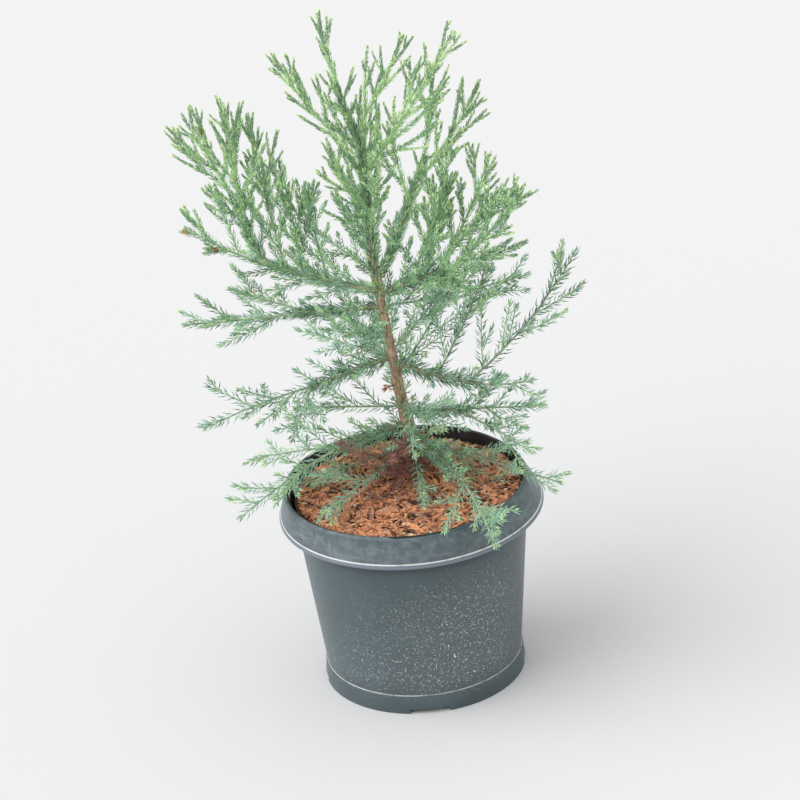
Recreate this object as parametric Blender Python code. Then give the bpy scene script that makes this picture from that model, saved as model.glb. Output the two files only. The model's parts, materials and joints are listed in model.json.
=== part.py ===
"""A young giant sequoia in its plastic nursery pot.

Lengths are in millimetres and turned into metres where a mesh is made. The origin is the centre of the
pot's underside, +Z is up, and an azimuth of 0 points along +X and 90 along +Y.
"""

import math
import random
from collections import namedtuple

import bpy
import bmesh
import numpy as np
from mathutils import Vector
from mathutils.bvhtree import BVHTree

MM = 0.001
UP = np.array([0.0, 0.0, 1.0])
GAP = 0.3  # clear space between neighbouring solids

# Pot
ROUND_SIDES = 40
POT_HEIGHT = 152.3
BEAD_RADIUS = 95.5
BEAD_HEIGHT = 131.0
BODY_RADIUS_TOP = 83.5
BODY_HEIGHT_TOP = 128.0
STEP_RADIUS = 71.4
STEP_HEIGHT = 14.0
FOOT_RADIUS = 73.5
WALL = 1.4
FLOOR_RISE = 5.0
DISC_RADIUS = 26.0
DRAIN_HOLES = 8
DRAIN_RADIUS = 4.5
DRAIN_CIRCLE = 50.0
NOTCHES = 4
NOTCH_WIDTH = 29.0
NOTCH_HEIGHT = 3.5

# Compost
SOIL_LEVEL = 144.0
SOIL_SIDES = 20

# Trunk: a flat cut at the compost, a flare, one true taper, and an easy lean to the left
TRUNK_FOOT_Y = 50.0
TRUNK_LEAN_Y = -10.0
TRUNK_HEIGHT = 300.0
TRUNK_BEND_HEIGHTS = (0, 45, 100, 165, 250, 285, 300)
TRUNK_BEND_X = (7, 0.5, -5, -11, -11.5, -22, -24.5)
TRUNK_DIAMETER = 9.4
TRUNK_TOP_DIAMETER = 1.9
FLARE = 1.7
FLARE_HEIGHT = 28.0
TRUNK_SIDES = 8
TRUNK_RINGS = 13

# Boughs and the stems of the foliage
BOUGH_SIDES = 6
BOUGH_RINGS = 5
BOUGH_TIP_SHARE = 0.62
STEM_RADIUS = 1.15
STEM_TIP_RADIUS = 0.6
STEM_PLAIN_RINGS = 3
STEM_SPRAY_RINGS = 2
STEM_PLAIN_SHARE = 0.6

# Sprays: a slim three-sided core with needles standing out of it
SPRAY_RADIUS = 0.8
SPRAY_ROOT_RADIUS = 0.4
SPRAY_ROOT = 3.0
SPRAY_RINGS = 2
LONG_SHOOT = 38.0  # a shoot longer than this has one more ring of needles
SPRAY_NEEDLED = 0.75
SPRAY_TIP = 16.0
NEEDLE = 8.0
NEEDLE_LEAN = 40.0
SPRAY_TWIST = 25.0
SHOOT_PITCH = 8.5
FIRST_SHOOT = 12.0
TURN_BETWEEN_SHOOTS = 137.5
SHOOT_STEPS = 5
SHOOT_RISE = 0.25
SHOOT_CURL = 0.35
KEEP_EVERY = 2
TEST_MARGIN = 0.45

# A bough: the limb that it is on, its place there (mm up the trunk, or share of a bough's length),
# heading, rise above level, length, how far it turns up along its length, and its diameter.
Bough = namedtuple("Bough", "name on at azimuth rise length lift diameter")
BOUGHS = (
    Bough("second_stem", "trunk", 148, 34, 59, 88, 6, 4.4),
    Bough("bough_right_high", "trunk", 136, -41, 27, 66, -10, 4.0),
    Bough("bough_right_long", "trunk", 78, -34, -3, 66, 10, 3.6),
    Bough("bough_right_low", "trunk", 38, -25, 10, 46, 0, 3.0),
    Bough("bough_left_high", "trunk", 138, 167, 15, 88, 10, 4.4),
    Bough("bough_left_rise", "bough_left_high", 0.93, 175, 72, 46, 20, 2.8),
    Bough("bough_left_mid", "trunk", 125, -165, 8, 60, 0, 3.4),
    Bough("bough_left_low", "trunk", 84, -155, -4, 62, 0, 3.2),
    Bough("bough_left_foot", "trunk", 30, -144, 2, 62, -10, 3.2),
    Bough("bough_front_foot", "trunk", 20, -68, 1, 80, -8, 3.0),
)

# A mass of foliage: the limb that its stem grows from and the place there, the stem's heading, rise,
# length and lift, how far its side shoots reach as a share of the stem beyond them, and their spread.
Mass = namedtuple("Mass", "name on at azimuth rise length lift reach spread")
MASSES = (
    Mass("leader_tip", "trunk", 300, -158, 80, 54, 0, 0.25, 30),
    Mass("leader_left", "trunk", 240, 152, 50, 96, 20, 0.36, 36),
    Mass("leader_right", "trunk", 262, 22, 56, 73, 10, 0.6, 40),
    Mass("leader_front_left", "trunk", 202, -117, 57, 84, 20, 0.4, 34),
    Mass("leader_front_right", "trunk", 190, -76, 57, 84, 20, 0.5, 38),
    Mass("leader_back", "trunk", 215, 88, 28, 76, 30, 0.6, 45),
    Mass("leader_left_mid", "trunk", 182, 178, 58, 40, 20, 0.5, 40),
    Mass("leader_diagonal", "trunk", 232, -25, 56, 132, 10, 0.45, 38),
    Mass("second_top", "second_stem", 1.0, 60, 68, 66, 10, 0.55, 38),
    Mass("second_right", "second_stem", 0.85, -12, 57, 88, 15, 0.4, 36),
    Mass("second_back", "second_stem", 0.65, 102, 42, 62, 20, 0.6, 40),
    Mass("right_high_front", "bough_right_high", 0.5, -55, 62, 84, 15, 0.55, 40),
    Mass("right_high_left", "bough_right_high", 0.7, 5, 76, 96, 10, 0.5, 38),
    Mass("right_high_top", "bough_right_high", 0.9, 10, 62, 92, 15, 0.6, 38),
    Mass("right_high_out", "bough_right_high", 1.0, -28, 48, 98, 20, 0.5, 38),
    Mass("right_high_low", "bough_right_high", 0.8, -66, 26, 88, 20, 0.5, 42),
    Mass("right_mid", "trunk", 124, 25, -4, 116, 10, 0.5, 42),
    Mass("right_long_top", "bough_right_long", 0.9, 18, 43, 120, 25, 0.42, 52),
    Mass("right_long_out", "bough_right_long", 1.0, -30, 12, 45, 15, 0.6, 48),
    Mass("right_long_in", "bough_right_long", 0.5, 8, 62, 88, 10, 0.5, 42),
    Mass("back_right_low", "trunk", 70, 44, 40, 100, 20, 0.6, 42),
    Mass("right_low_out", "bough_right_low", 1.0, -14, 3, 55, 0, 0.7, 45),
    Mass("right_low_droop", "bough_right_low", 0.8, -48, -8, 76, -20, 0.6, 45),
    Mass("foot_right", "trunk", 13, -39, -1, 126, -4, 0.36, 42),
    Mass("foot_front_right", "bough_front_foot", 1.0, -78, -5, 96, -18, 0.45, 42),
    Mass("foot_front", "trunk", 12, -88, -1, 92, 0, 0.35, 40),
    Mass("left_high_out", "bough_left_rise", 1.0, 172, 65, 78, 0, 0.75, 42),
    Mass("left_high_top", "bough_left_rise", 0.8, -100, 75, 102, 0, 0.55, 36),
    Mass("left_high_in", "bough_left_high", 0.75, 140, 80, 116, 10, 0.5, 38),
    Mass("left_high_back", "bough_left_high", 0.6, 100, 50, 84, 10, 0.5, 38),
    Mass("left_high_low", "bough_left_high", 1.0, -166, 37, 58, 15, 0.9, 44),
    Mass("left_inner", "bough_left_high", 0.4, 104, 47, 70, 15, 0.5, 38),
    Mass("back_mid", "trunk", 146, 100, 25, 86, 20, 0.6, 42),
    Mass("left_mid_out", "bough_left_mid", 1.0, -172, 3, 80, 5, 0.5, 42),
    Mass("left_mid_back", "bough_left_mid", 0.85, 145, 6, 64, 10, 0.6, 42),
    Mass("front_left_mid", "trunk", 106, -118, 26, 94, 10, 0.5, 42),
    Mass("left_low_out", "bough_left_low", 1.0, -162, -9, 82, -12, 0.5, 42),
    Mass("left_low_front", "bough_left_low", 1.0, -105, -10, 62, -5, 0.45, 40),
    Mass("back_left_low", "trunk", 84, 128, -6, 96, 5, 0.5, 42),
    Mass("left_foot_side", "trunk", 44, -178, 6, 72, 0, 0.45, 42),
    Mass("left_foot_out", "bough_left_foot", 1.0, -152, -19, 84, -14, 0.5, 42),
    Mass("left_foot_back", "bough_left_foot", 0.85, 154, -15, 76, -5, 0.5, 42),
    Mass("foot_left", "trunk", 12, -149, 1, 106, 0, 0.4, 42),
    Mass("foot_front_left", "trunk", 10, -122, 3, 130, -6, 0.4, 42),
    Mass("front_low", "trunk", 48, -74, 12, 96, 0, 0.6, 42),
    Mass("back_low", "trunk", 56, 95, 16, 92, 20, 0.6, 42),
    Mass("right_inner", "trunk", 92, -20, 52, 66, 10, 0.6, 40),
)

# Colours and finishes: base colour (linear), roughness
POT_PLASTIC = ((0.045, 0.053, 0.062), 0.55)
BARK_CHIPS = ((0.24, 0.085, 0.04), 0.95)
BARK = ((0.20, 0.11, 0.07), 0.9)
FRESH_NEEDLES = ((0.16, 0.28, 0.13), 0.6)
BLUE_NEEDLES = ((0.14, 0.22, 0.17), 0.65)
BLUE_BELOW = 290.0


def clear_scene():
    for thing in list(bpy.data.objects):
        bpy.data.objects.remove(thing, do_unlink=True)


def material(name, finish):
    colour, roughness = finish
    made = bpy.data.materials.new(name)
    made.use_nodes = True
    shader = made.node_tree.nodes["Principled BSDF"]
    shader.inputs["Base Color"].default_value = (*colour, 1.0)
    shader.inputs["Roughness"].default_value = roughness
    return made


def mesh_object(name, points, faces, finish=None):
    """An object from points in millimetres and faces, with its normals made to point out."""
    mesh = bpy.data.meshes.new(name)
    mesh.from_pydata([tuple(point * MM) for point in np.asarray(points)], [], faces)
    shell = bmesh.new()
    shell.from_mesh(mesh)
    bmesh.ops.recalc_face_normals(shell, faces=shell.faces)
    shell.to_mesh(mesh)
    shell.free()
    if finish is not None:
        mesh.materials.append(finish)
    made = bpy.data.objects.new(name, mesh)
    bpy.context.scene.collection.objects.link(made)
    return made


# ---------------------------------------------------------------- pot and compost


def turned(name, profile, sides, finish):
    """A solid of revolution from (radius, height) points; a radius of 0 is a point on the axis."""
    points, rings = [], []
    for radius, height in profile:
        count = sides if radius > 0 else 1
        rings.append(range(len(points), len(points) + count))
        for k in range(count):
            turn = 2 * math.pi * k / sides
            points.append((radius * math.cos(turn), radius * math.sin(turn), height))
    faces = []
    for lower, upper in zip(rings, rings[1:] + rings[:1]):
        if len(lower) == len(upper) == 1:
            continue
        for k in range(sides):
            n = (k + 1) % sides
            corners = (lower[k % len(lower)], lower[n % len(lower)], upper[n % len(upper)], upper[k % len(upper)])
            faces.append(tuple(dict.fromkeys(corners)))
    return mesh_object(name, points, faces, finish)


def body_radius(height):
    """The pot's outer radius above the step, where its side is one straight taper."""
    taper = (BODY_RADIUS_TOP - STEP_RADIUS) / (BODY_HEIGHT_TOP - STEP_HEIGHT)
    return STEP_RADIUS + taper * (height - STEP_HEIGHT)


def pot_profile():
    floor_top = FLOOR_RISE + WALL
    collar_root = POT_HEIGHT - 4.0
    mouth = body_radius(POT_HEIGHT) - WALL
    return (
        (0, 0),
        (DISC_RADIUS, 0),
        (DISC_RADIUS + 3.0, FLOOR_RISE),
        (FOOT_RADIUS - 2.9, FLOOR_RISE),
        (FOOT_RADIUS - 1.6, 0),
        (FOOT_RADIUS, 0),
        (STEP_RADIUS + 0.9, STEP_HEIGHT - 0.8),
        (STEP_RADIUS, STEP_HEIGHT),
        (body_radius(collar_root), collar_root),
        (BEAD_RADIUS - 2.3, BEAD_HEIGHT + 0.3),
        (BEAD_RADIUS - 1.5, BEAD_HEIGHT - 1.2),
        (BEAD_RADIUS - 0.2, BEAD_HEIGHT - 0.6),
        (BEAD_RADIUS - 0.1, BEAD_HEIGHT + 1.2),
        (mouth + 3.0, POT_HEIGHT - 1.2),
        (mouth + 1.6, POT_HEIGHT),
        (mouth, POT_HEIGHT - 0.6),
        (body_radius(floor_top) - WALL, floor_top),
        (DISC_RADIUS + 3.4, floor_top),
        (DISC_RADIUS + 0.9, WALL),
        (0, WALL),
    )


def cutter(name, sides, radius, depth):
    made = turned(name, ((0, 0), (radius, 0), (radius, depth), (0, depth)), sides, None)
    made.hide_render = True
    made.display_type = "WIRE"
    return made


def make_pot(finish):
    """The pot: skirted collar, tapering side, foot band with notches, raised floor with drain holes."""
    pot = turned("pot", pot_profile(), ROUND_SIDES, finish)
    for k in range(DRAIN_HOLES):
        turn = 2 * math.pi * (k + 0.5) / DRAIN_HOLES
        drill = cutter(f"drain_{k}", 8, DRAIN_RADIUS, 6.0)
        place = (DRAIN_CIRCLE * math.cos(turn), DRAIN_CIRCLE * math.sin(turn), FLOOR_RISE - 2.0)
        drill.location = Vector(place) * MM
        subtract(pot, drill)
    for k in range(NOTCHES):
        turn = 2 * math.pi * k / NOTCHES - math.pi / 2
        block = notch_block(f"notch_{k}")
        block.rotation_euler = (0, 0, turn)
        subtract(pot, block)
    return pot


def notch_block(name):
    """A block across the foot skirt, along +X before it is turned."""
    inner, outer = FOOT_RADIUS - 6.0, FOOT_RADIUS + 4.0
    half, low, high = NOTCH_WIDTH / 2, -2.0, NOTCH_HEIGHT
    corners = [(x, y, z) for x in (inner, outer) for y in (-half, half) for z in (low, high)]
    sides = [(0, 1, 3, 2), (4, 6, 7, 5), (0, 4, 5, 1), (2, 3, 7, 6), (0, 2, 6, 4), (1, 5, 7, 3)]
    block = mesh_object(name, corners, sides)
    block.hide_render = True
    block.display_type = "WIRE"
    return block


def subtract(target, tool):
    cut = target.modifiers.new(tool.name, "BOOLEAN")
    cut.operation = "DIFFERENCE"
    cut.object = tool


def make_soil(finish):
    """The compost fills the pot up to its level, a hair clear of wall and floor."""
    floor = FLOOR_RISE + WALL + GAP
    wall = WALL + GAP
    profile = (
        (0, floor),
        (body_radius(floor) - wall, floor),
        (body_radius(SOIL_LEVEL) - wall, SOIL_LEVEL),
        (0, SOIL_LEVEL),
    )
    return turned("soil", profile, SOIL_SIDES, finish)


# ---------------------------------------------------------------- limbs


def unit(vector):
    return vector / np.linalg.norm(vector)


def heading(azimuth, rise):
    turn, tilt = math.radians(azimuth), math.radians(rise)
    return np.array([math.cos(tilt) * math.cos(turn), math.cos(tilt) * math.sin(turn), math.sin(tilt)])


def arc(start, azimuth, rise, length, lift, steps):
    """Points on a limb that turns up by lift degrees, evenly about its mean rise."""
    points = [np.array(start, float)]
    for k in range(steps):
        here = rise + lift * ((k + 0.5) / steps - 0.5)
        points.append(points[-1] + heading(azimuth, here) * length / steps)
    return np.array(points)


def along(points, share):
    """The point and the direction at a share of a path's length."""
    spans = np.linalg.norm(np.diff(points, axis=0), axis=1)
    ends = np.concatenate(([0.0], np.cumsum(spans)))
    far = share * ends[-1]
    k = min(int(np.searchsorted(ends, far, side="right")) - 1, len(spans) - 1)
    part = (far - ends[k]) / spans[k]
    return points[k] + part * (points[k + 1] - points[k]), unit(points[k + 1] - points[k])


def cross_axes(direction):
    """Two directions square to a direction: sideways, and the nearest to straight up."""
    level = UP if abs(direction[2]) < 0.96 else np.array([0.0, 1.0, 0.0])
    above = unit(level - (level @ direction) * direction)
    return np.cross(direction, above), above


def trunk_path(height_shares):
    heights = TRUNK_HEIGHT * np.asarray(height_shares, float)
    lean = TRUNK_FOOT_Y + TRUNK_LEAN_Y * heights / TRUNK_HEIGHT
    across = np.interp(heights, TRUNK_BEND_HEIGHTS, TRUNK_BEND_X)
    return np.stack([across, lean, SOIL_LEVEL + GAP + heights], axis=1)


def trunk_radius(height):
    taper = TRUNK_DIAMETER + (TRUNK_TOP_DIAMETER - TRUNK_DIAMETER) * (height / TRUNK_HEIGHT) ** 0.8
    return taper / 2 + FLARE * math.exp(-height / FLARE_HEIGHT)


def tube(points, radii, sides, level_foot=False):
    """Points and faces of a tapering tube with flat ends, the first one level where that is asked."""
    rows = len(points)
    made = []
    side, above = cross_axes(unit(points[1] - points[0]))
    for k in range(rows):
        direction = unit(points[min(k + 1, rows - 1)] - points[max(k - 1, 0)])
        if k == 0 and level_foot:
            direction = UP
        side = unit(side - (side @ direction) * direction)
        above = np.cross(side, direction)
        for j in range(sides):
            turn = 2 * math.pi * j / sides
            made.append(points[k] + radii[k] * (math.cos(turn) * side + math.sin(turn) * above))
    faces = [tuple(range(sides)), tuple(range((rows - 1) * sides, rows * sides))]
    for k in range(rows - 1):
        for j in range(sides):
            n = (j + 1) % sides
            faces.append((k * sides + j, k * sides + n, (k + 1) * sides + n, (k + 1) * sides + j))
    return made, faces


def foot_on(limb, at, azimuth, rise, radius):
    """Where a limb or stem starts: a hair clear of the side of what it grows from, or of that limb's tip."""
    points, radii = limb
    share = at / TRUNK_HEIGHT if at > 1 else at
    centre, direction = along(points, share)
    own = heading(azimuth, rise)
    slant = abs(own @ direction)
    if share >= 1:
        return centre + own * (GAP + (radius + radii[-1]) * math.sqrt(max(0.0, 1 - slant * slant)))
    carrier = float(np.interp(share, np.linspace(0, 1, len(radii)), radii))
    outward = unit(own - (own @ direction) * direction)
    return centre + outward * (carrier + GAP + radius * slant)


def make_trunk(finish):
    shares = np.concatenate(([0.0, 0.012, 0.04], np.linspace(0.1, 1.0, TRUNK_RINGS - 3)))
    points = trunk_path(shares)
    radii = [trunk_radius(share * TRUNK_HEIGHT) for share in shares]
    made = mesh_object("trunk", *tube(points, radii, TRUNK_SIDES, level_foot=True), finish)
    even = np.linspace(0, 1, 61)
    return made, (trunk_path(even), [trunk_radius(share * TRUNK_HEIGHT) for share in even])


def make_bough(bough, limbs, finish):
    root = bough.diameter / 2
    start = foot_on(limbs[bough.on], bough.at, bough.azimuth, bough.rise - bough.lift / 2, root)
    points = arc(start, bough.azimuth, bough.rise, bough.length, bough.lift, BOUGH_RINGS - 1)
    radii = list(np.linspace(root, root * BOUGH_TIP_SHARE, BOUGH_RINGS))
    made = mesh_object(bough.name, *tube(points, radii, BOUGH_SIDES), finish)
    return made, (points, radii)


# ---------------------------------------------------------------- foliage


def spray(points, radii, plain, needle):
    """A three-sided core that ends in a point, with a needle out of each face beyond the plain spans."""
    made, faces = [], [(0, 1, 2)]
    side, _ = cross_axes(unit(points[1] - points[0]))
    rings = len(points) - 1
    for k in range(rings):
        direction = unit(points[k + 1] - points[max(k - 1, 0)])
        side = unit(side - (side @ direction) * direction)
        above = np.cross(side, direction)
        for j in range(3):
            turn = math.radians(120 * j + SPRAY_TWIST * k)
            made.append(points[k] + radii[k] * (math.cos(turn) * side + math.sin(turn) * above))
    made.append(points[-1])
    tip = len(made) - 1
    out, ahead = math.sin(math.radians(NEEDLE_LEAN)), math.cos(math.radians(NEEDLE_LEAN))
    for k in range(rings - 1):
        middle = (points[k] + points[k + 1]) / 2
        direction = unit(points[k + 1] - points[k])
        for j in range(3):
            corners = (3 * k + j, 3 * k + (j + 1) % 3, 3 * k + 3 + (j + 1) % 3, 3 * k + 3 + j)
            if k < plain:
                faces += [(corners[0], corners[1], corners[2]), (corners[0], corners[2], corners[3])]
                continue
            centre = sum(made[c] for c in corners) / 4
            outward = unit(centre - middle)
            made.append(centre + needle * (out * outward + ahead * direction))
            point = len(made) - 1
            faces += [(corners[i], corners[(i + 1) % 4], point) for i in range(4)]
    last = 3 * (rings - 1)
    faces += [(last + j, last + (j + 1) % 3, tip) for j in range(3)]
    return made, faces


def spans(points, shares):
    return np.array([along(points, share)[0] for share in shares])


def stem_spray(mass, start, grow=0.0):
    """The stem of a mass: plain near its root, with needles towards its tip."""
    path = arc(start, mass.azimuth, mass.rise, mass.length, mass.lift, 8)
    plain = np.linspace(0, STEM_PLAIN_SHARE, STEM_PLAIN_RINGS + 1)
    needled = np.linspace(STEM_PLAIN_SHARE, 0.85, STEM_SPRAY_RINGS + 1)[1:]
    shares = np.concatenate((plain, needled, [1.0]))
    radii = [STEM_RADIUS + (STEM_TIP_RADIUS - STEM_RADIUS) * share + grow for share in shares]
    return spray(spans(path, shares), radii, STEM_PLAIN_RINGS, NEEDLE + grow), path


def side_shoots(path, mass):
    """The side shoots of a stem: their place, path and length, in a spiral round it."""
    dice = random.Random(mass.name)
    roll = dice.uniform(0, 360)
    length = mass.length
    share = FIRST_SHOOT / length
    shoots = []
    while share < 0.93:
        roll += TURN_BETWEEN_SHOOTS + dice.uniform(-15, 15)
        spread = math.radians(mass.spread * (1.15 - 0.4 * share) + dice.uniform(-5, 5))
        swell = dice.uniform(0.85, 1.1)
        root, direction = along(path, share)
        side, above = cross_axes(direction)
        around = math.cos(math.radians(roll)) * side + math.sin(math.radians(roll)) * above
        start = unit(math.cos(spread) * direction + math.sin(spread) * around + SHOOT_RISE * UP)
        left = length * (1 - share)
        reach = min((mass.reach * left + SPRAY_TIP) * swell, left / max(0.4, start @ direction) + 1)
        points = [root]
        for k in range(SHOOT_STEPS):
            turn = SHOOT_CURL * (k + 0.5) / SHOOT_STEPS
            points.append(points[-1] + unit(start + turn * (direction + UP / 2)) * reach / SHOOT_STEPS)
        shoots.append((np.array(points), reach))
        share += SHOOT_PITCH * dice.uniform(0.8, 1.2) / length
    return shoots


def shoot_spray(points, reach, grow=0.0):
    rings = SPRAY_RINGS + (reach > LONG_SHOOT)
    shares = np.concatenate(([0.0], np.linspace(SPRAY_ROOT / reach, SPRAY_NEEDLED, rings + 1), [1.0]))
    radii = [SPRAY_ROOT_RADIUS, *np.linspace(SPRAY_RADIUS, SPRAY_RADIUS * 0.8, rings + 1), 0.0]
    return spray(spans(points, shares), [radius + grow for radius in radii], 1, NEEDLE + grow)


def tree_of(shape):
    points, faces = shape
    return BVHTree.FromPolygons([Vector(point) for point in points], faces)


def solid_tree(solid):
    """A search tree of an object as evaluated, in millimetres."""
    evaluated = solid.evaluated_get(bpy.context.evaluated_depsgraph_get())
    mesh = evaluated.to_mesh()
    place = solid.matrix_world
    points = [place @ vertex.co / MM for vertex in mesh.vertices]
    made = BVHTree.FromPolygons(points, [tuple(face.vertices) for face in mesh.polygons])
    evaluated.to_mesh_clear()
    return made


def fuse(stem, pieces):
    """One closed body from a stem and its sprays: a Boolean union, applied."""
    group = bpy.data.collections.new(stem.name + "_sprays")
    bpy.context.scene.collection.children.link(group)
    for piece in pieces:
        bpy.context.scene.collection.objects.unlink(piece)
        group.objects.link(piece)
    union = stem.modifiers.new("union", "BOOLEAN")
    union.operation = "UNION"
    union.operand_type = "COLLECTION"
    union.collection = group
    graph = bpy.context.evaluated_depsgraph_get()
    whole = bpy.data.meshes.new_from_object(stem.evaluated_get(graph), depsgraph=graph)
    stem.modifiers.clear()
    stem.data = whole
    for piece in pieces:
        bpy.data.objects.remove(piece, do_unlink=True)
    bpy.data.collections.remove(group)


def make_foliage(limbs, solids, finishes):
    """All the masses: the stems first, then the sprays of each, where they clear every other solid."""
    fixed = [solid_tree(solid) for solid in solids]
    stems, paths, kept = {}, {}, {}
    for mass in MASSES:
        start = foot_on(limbs[mass.on], mass.at, mass.azimuth, mass.rise - mass.lift / 2, STEM_RADIUS)
        shape, path = stem_spray(mass, start)
        wide, _ = stem_spray(mass, start, GAP / 3)
        probe = tree_of(wide)
        for solid, other in zip(solids, fixed):
            if probe.overlap(other):
                raise RuntimeError(f"{mass.name}: its stem touches {solid.name}")
        for name, others in kept.items():
            if probe.overlap(others[0]):
                raise RuntimeError(f"{mass.name}: its stem touches the stem of {name}")
        stems[mass.name] = shape
        paths[mass.name] = path
        kept[mass.name] = [tree_of(shape)]
    for mass in MASSES:
        pieces = []
        others = [tree for name, trees in kept.items() if name != mass.name for tree in trees]
        for k, (points, reach) in enumerate(side_shoots(paths[mass.name], mass)[::KEEP_EVERY]):
            probe = tree_of(shoot_spray(points, reach, TEST_MARGIN))
            if any(probe.overlap(tree) for tree in fixed + others):
                continue
            shape = shoot_spray(points, reach)
            kept[mass.name].append(tree_of(shape))
            pieces.append(mesh_object(f"{mass.name}_{k}", *shape))
        height = paths[mass.name][:, 2].mean()
        finish = finishes["blue"] if height < BLUE_BELOW else finishes["fresh"]
        stem = mesh_object(mass.name, *stems[mass.name], finish)
        fuse(stem, pieces)
        print(mass.name, "sprays", len(pieces), "faces", len(stem.data.polygons))


def main():
    clear_scene()
    finishes = {
        "blue": material("blue_green_needles", BLUE_NEEDLES),
        "fresh": material("fresh_green_needles", FRESH_NEEDLES),
    }
    bark = material("bark", BARK)
    pot = make_pot(material("grey_plastic", POT_PLASTIC))
    soil = make_soil(material("bark_chips", BARK_CHIPS))
    trunk, line = make_trunk(bark)
    limbs, solids = {"trunk": line}, [pot, soil, trunk]
    for bough in BOUGHS:
        solid, limbs[bough.name] = make_bough(bough, limbs, bark)
        solids.append(solid)
    make_foliage(limbs, solids, finishes)


main()
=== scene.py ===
"""The looks of a potted young giant sequoia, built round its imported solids.

Growth is worked out in millimetres, in the frame of the solids: origin under the pot, +Z up, azimuth 0
along +X and 90 along +Y. Meshes are made in metres.
"""

import functools
import json
import math
import random
from collections import namedtuple

import bpy
import numpy as np
from mathutils import Matrix, Vector, noise

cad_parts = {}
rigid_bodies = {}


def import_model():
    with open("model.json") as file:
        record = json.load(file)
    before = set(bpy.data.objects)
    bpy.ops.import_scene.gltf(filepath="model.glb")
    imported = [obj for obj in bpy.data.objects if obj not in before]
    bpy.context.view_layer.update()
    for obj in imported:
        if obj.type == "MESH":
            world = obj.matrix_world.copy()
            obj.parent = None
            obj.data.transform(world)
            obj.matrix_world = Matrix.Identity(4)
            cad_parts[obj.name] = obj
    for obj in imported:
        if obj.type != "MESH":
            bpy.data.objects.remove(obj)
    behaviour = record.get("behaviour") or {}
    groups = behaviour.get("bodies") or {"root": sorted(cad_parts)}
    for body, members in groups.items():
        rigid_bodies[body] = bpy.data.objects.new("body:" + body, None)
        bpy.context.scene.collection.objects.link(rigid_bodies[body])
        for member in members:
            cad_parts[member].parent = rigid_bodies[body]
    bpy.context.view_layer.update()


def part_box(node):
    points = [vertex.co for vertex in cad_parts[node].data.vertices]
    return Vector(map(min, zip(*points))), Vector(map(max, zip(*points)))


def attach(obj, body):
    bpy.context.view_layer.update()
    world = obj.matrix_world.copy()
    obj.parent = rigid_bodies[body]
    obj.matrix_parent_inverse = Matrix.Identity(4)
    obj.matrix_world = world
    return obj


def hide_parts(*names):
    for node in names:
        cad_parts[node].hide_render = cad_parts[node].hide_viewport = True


bl_info = {
    "name": "Potted giant sequoia",
    "version": (1, 0, 0),
    "blender": (4, 5, 0),
    "location": "View3D > Sidebar > Sequoia",
    "description": "Grows a young giant sequoia in a nursery pot, with its compost, bark, twigs and needles",
    "category": "Add Mesh",
}

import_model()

MM = 0.001
UP = np.array([0.0, 0.0, 1.0])
GOLDEN_TURN = 137.5

# ---------------------------------------------------------------- sizes shared with the solids

POT_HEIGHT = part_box("pot")[1].z / MM
BEAD_RADIUS = 95.5
BEAD_HEIGHT = 131.0
# The pot's outside narrows evenly from here down to its step.
BODY_RADIUS_TOP = 83.5
BODY_HEIGHT_TOP = 128.0
STEP_RADIUS = 71.4
STEP_HEIGHT = 14.0
FOOT_RADIUS = 73.5
WALL = 1.4
FLOOR_RISE = 5.0
DISC_RADIUS = 26.0
DRAIN_HOLES = 8
DRAIN_RADIUS = 4.5
DRAIN_CIRCLE = 50.0
STRAIGHT_TO = 105.0
# The mouth's folded lip, and the heights over which the mouth goes out of true.
FOLD_FROM = math.radians(-101)
FOLD_TO = math.radians(-64)
FOLD_WIDTH = 2.2
FOLD_DROP = 0.5
WAVE_HEIGHTS = (110, 150)
NOTCHES = 4
NOTCH_WIDTH = 29.0
NOTCH_HEIGHT = 3.5

SOIL_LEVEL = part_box("soil")[1].z / MM

# Heights on the trunk are counted from the compost; it leans as it rises, and bends along X.
TRUNK_FOOT_Y = 50.0
TRUNK_LEAN_Y = -10.0
TRUNK_HEIGHT = 300.0
TRUNK_BEND_HEIGHTS = (0, 45, 100, 165, 250, 285, 300)
TRUNK_BEND_X = (7, 0.5, -5, -11, -11.5, -22, -24.5)
TRUNK_DIAMETER = 9.4
TRUNK_TOP_DIAMETER = 1.9
FLARE = 1.7
FLARE_HEIGHT = 28.0
GAP = 0.3
BOUGH_TIP_SHARE = 0.62
STEM_RADIUS = 1.15
SPRAY_TIP = 16.0
SHOOT_PITCH = 8.5
FIRST_SHOOT = 12.0
LAST_SHOOT = 0.93
SHOOT_STEPS = 5
SHOOT_RISE = 0.25
SHOOT_CURL = 0.35
# The solids keep one side shoot in so many; the rest are grown here, shorter.
KEEP_EVERY = 2

# A bough: the limb that it is on, its place there (mm up the trunk, or share of a bough's length),
# heading, rise above level, length, how far it turns up along its length, its diameter, and the
# length of the longest of the short shoots along it.
Bough = namedtuple("Bough", "name on at azimuth rise length lift diameter tuft")
BOUGHS = (
    Bough("second_stem", "trunk", 148, 34, 59, 88, 6, 4.4, 14),
    Bough("bough_right_high", "trunk", 136, -41, 27, 66, -10, 4.0, 42),
    Bough("bough_right_long", "trunk", 78, -34, -3, 66, 10, 3.6, 26),
    Bough("bough_right_low", "trunk", 38, -25, 10, 46, 0, 3.0, 24),
    Bough("bough_left_high", "trunk", 138, 167, 15, 88, 10, 4.4, 42),
    Bough("bough_left_rise", "bough_left_high", 0.93, 175, 72, 46, 20, 2.8, 42),
    Bough("bough_left_mid", "trunk", 125, -165, 8, 60, 0, 3.4, 30),
    Bough("bough_left_low", "trunk", 84, -155, -4, 62, 0, 3.2, 26),
    Bough("bough_left_foot", "trunk", 30, -144, 2, 62, -10, 3.2, 24),
    Bough("bough_front_foot", "trunk", 20, -68, 1, 80, -8, 3.0, 20),
)

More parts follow.
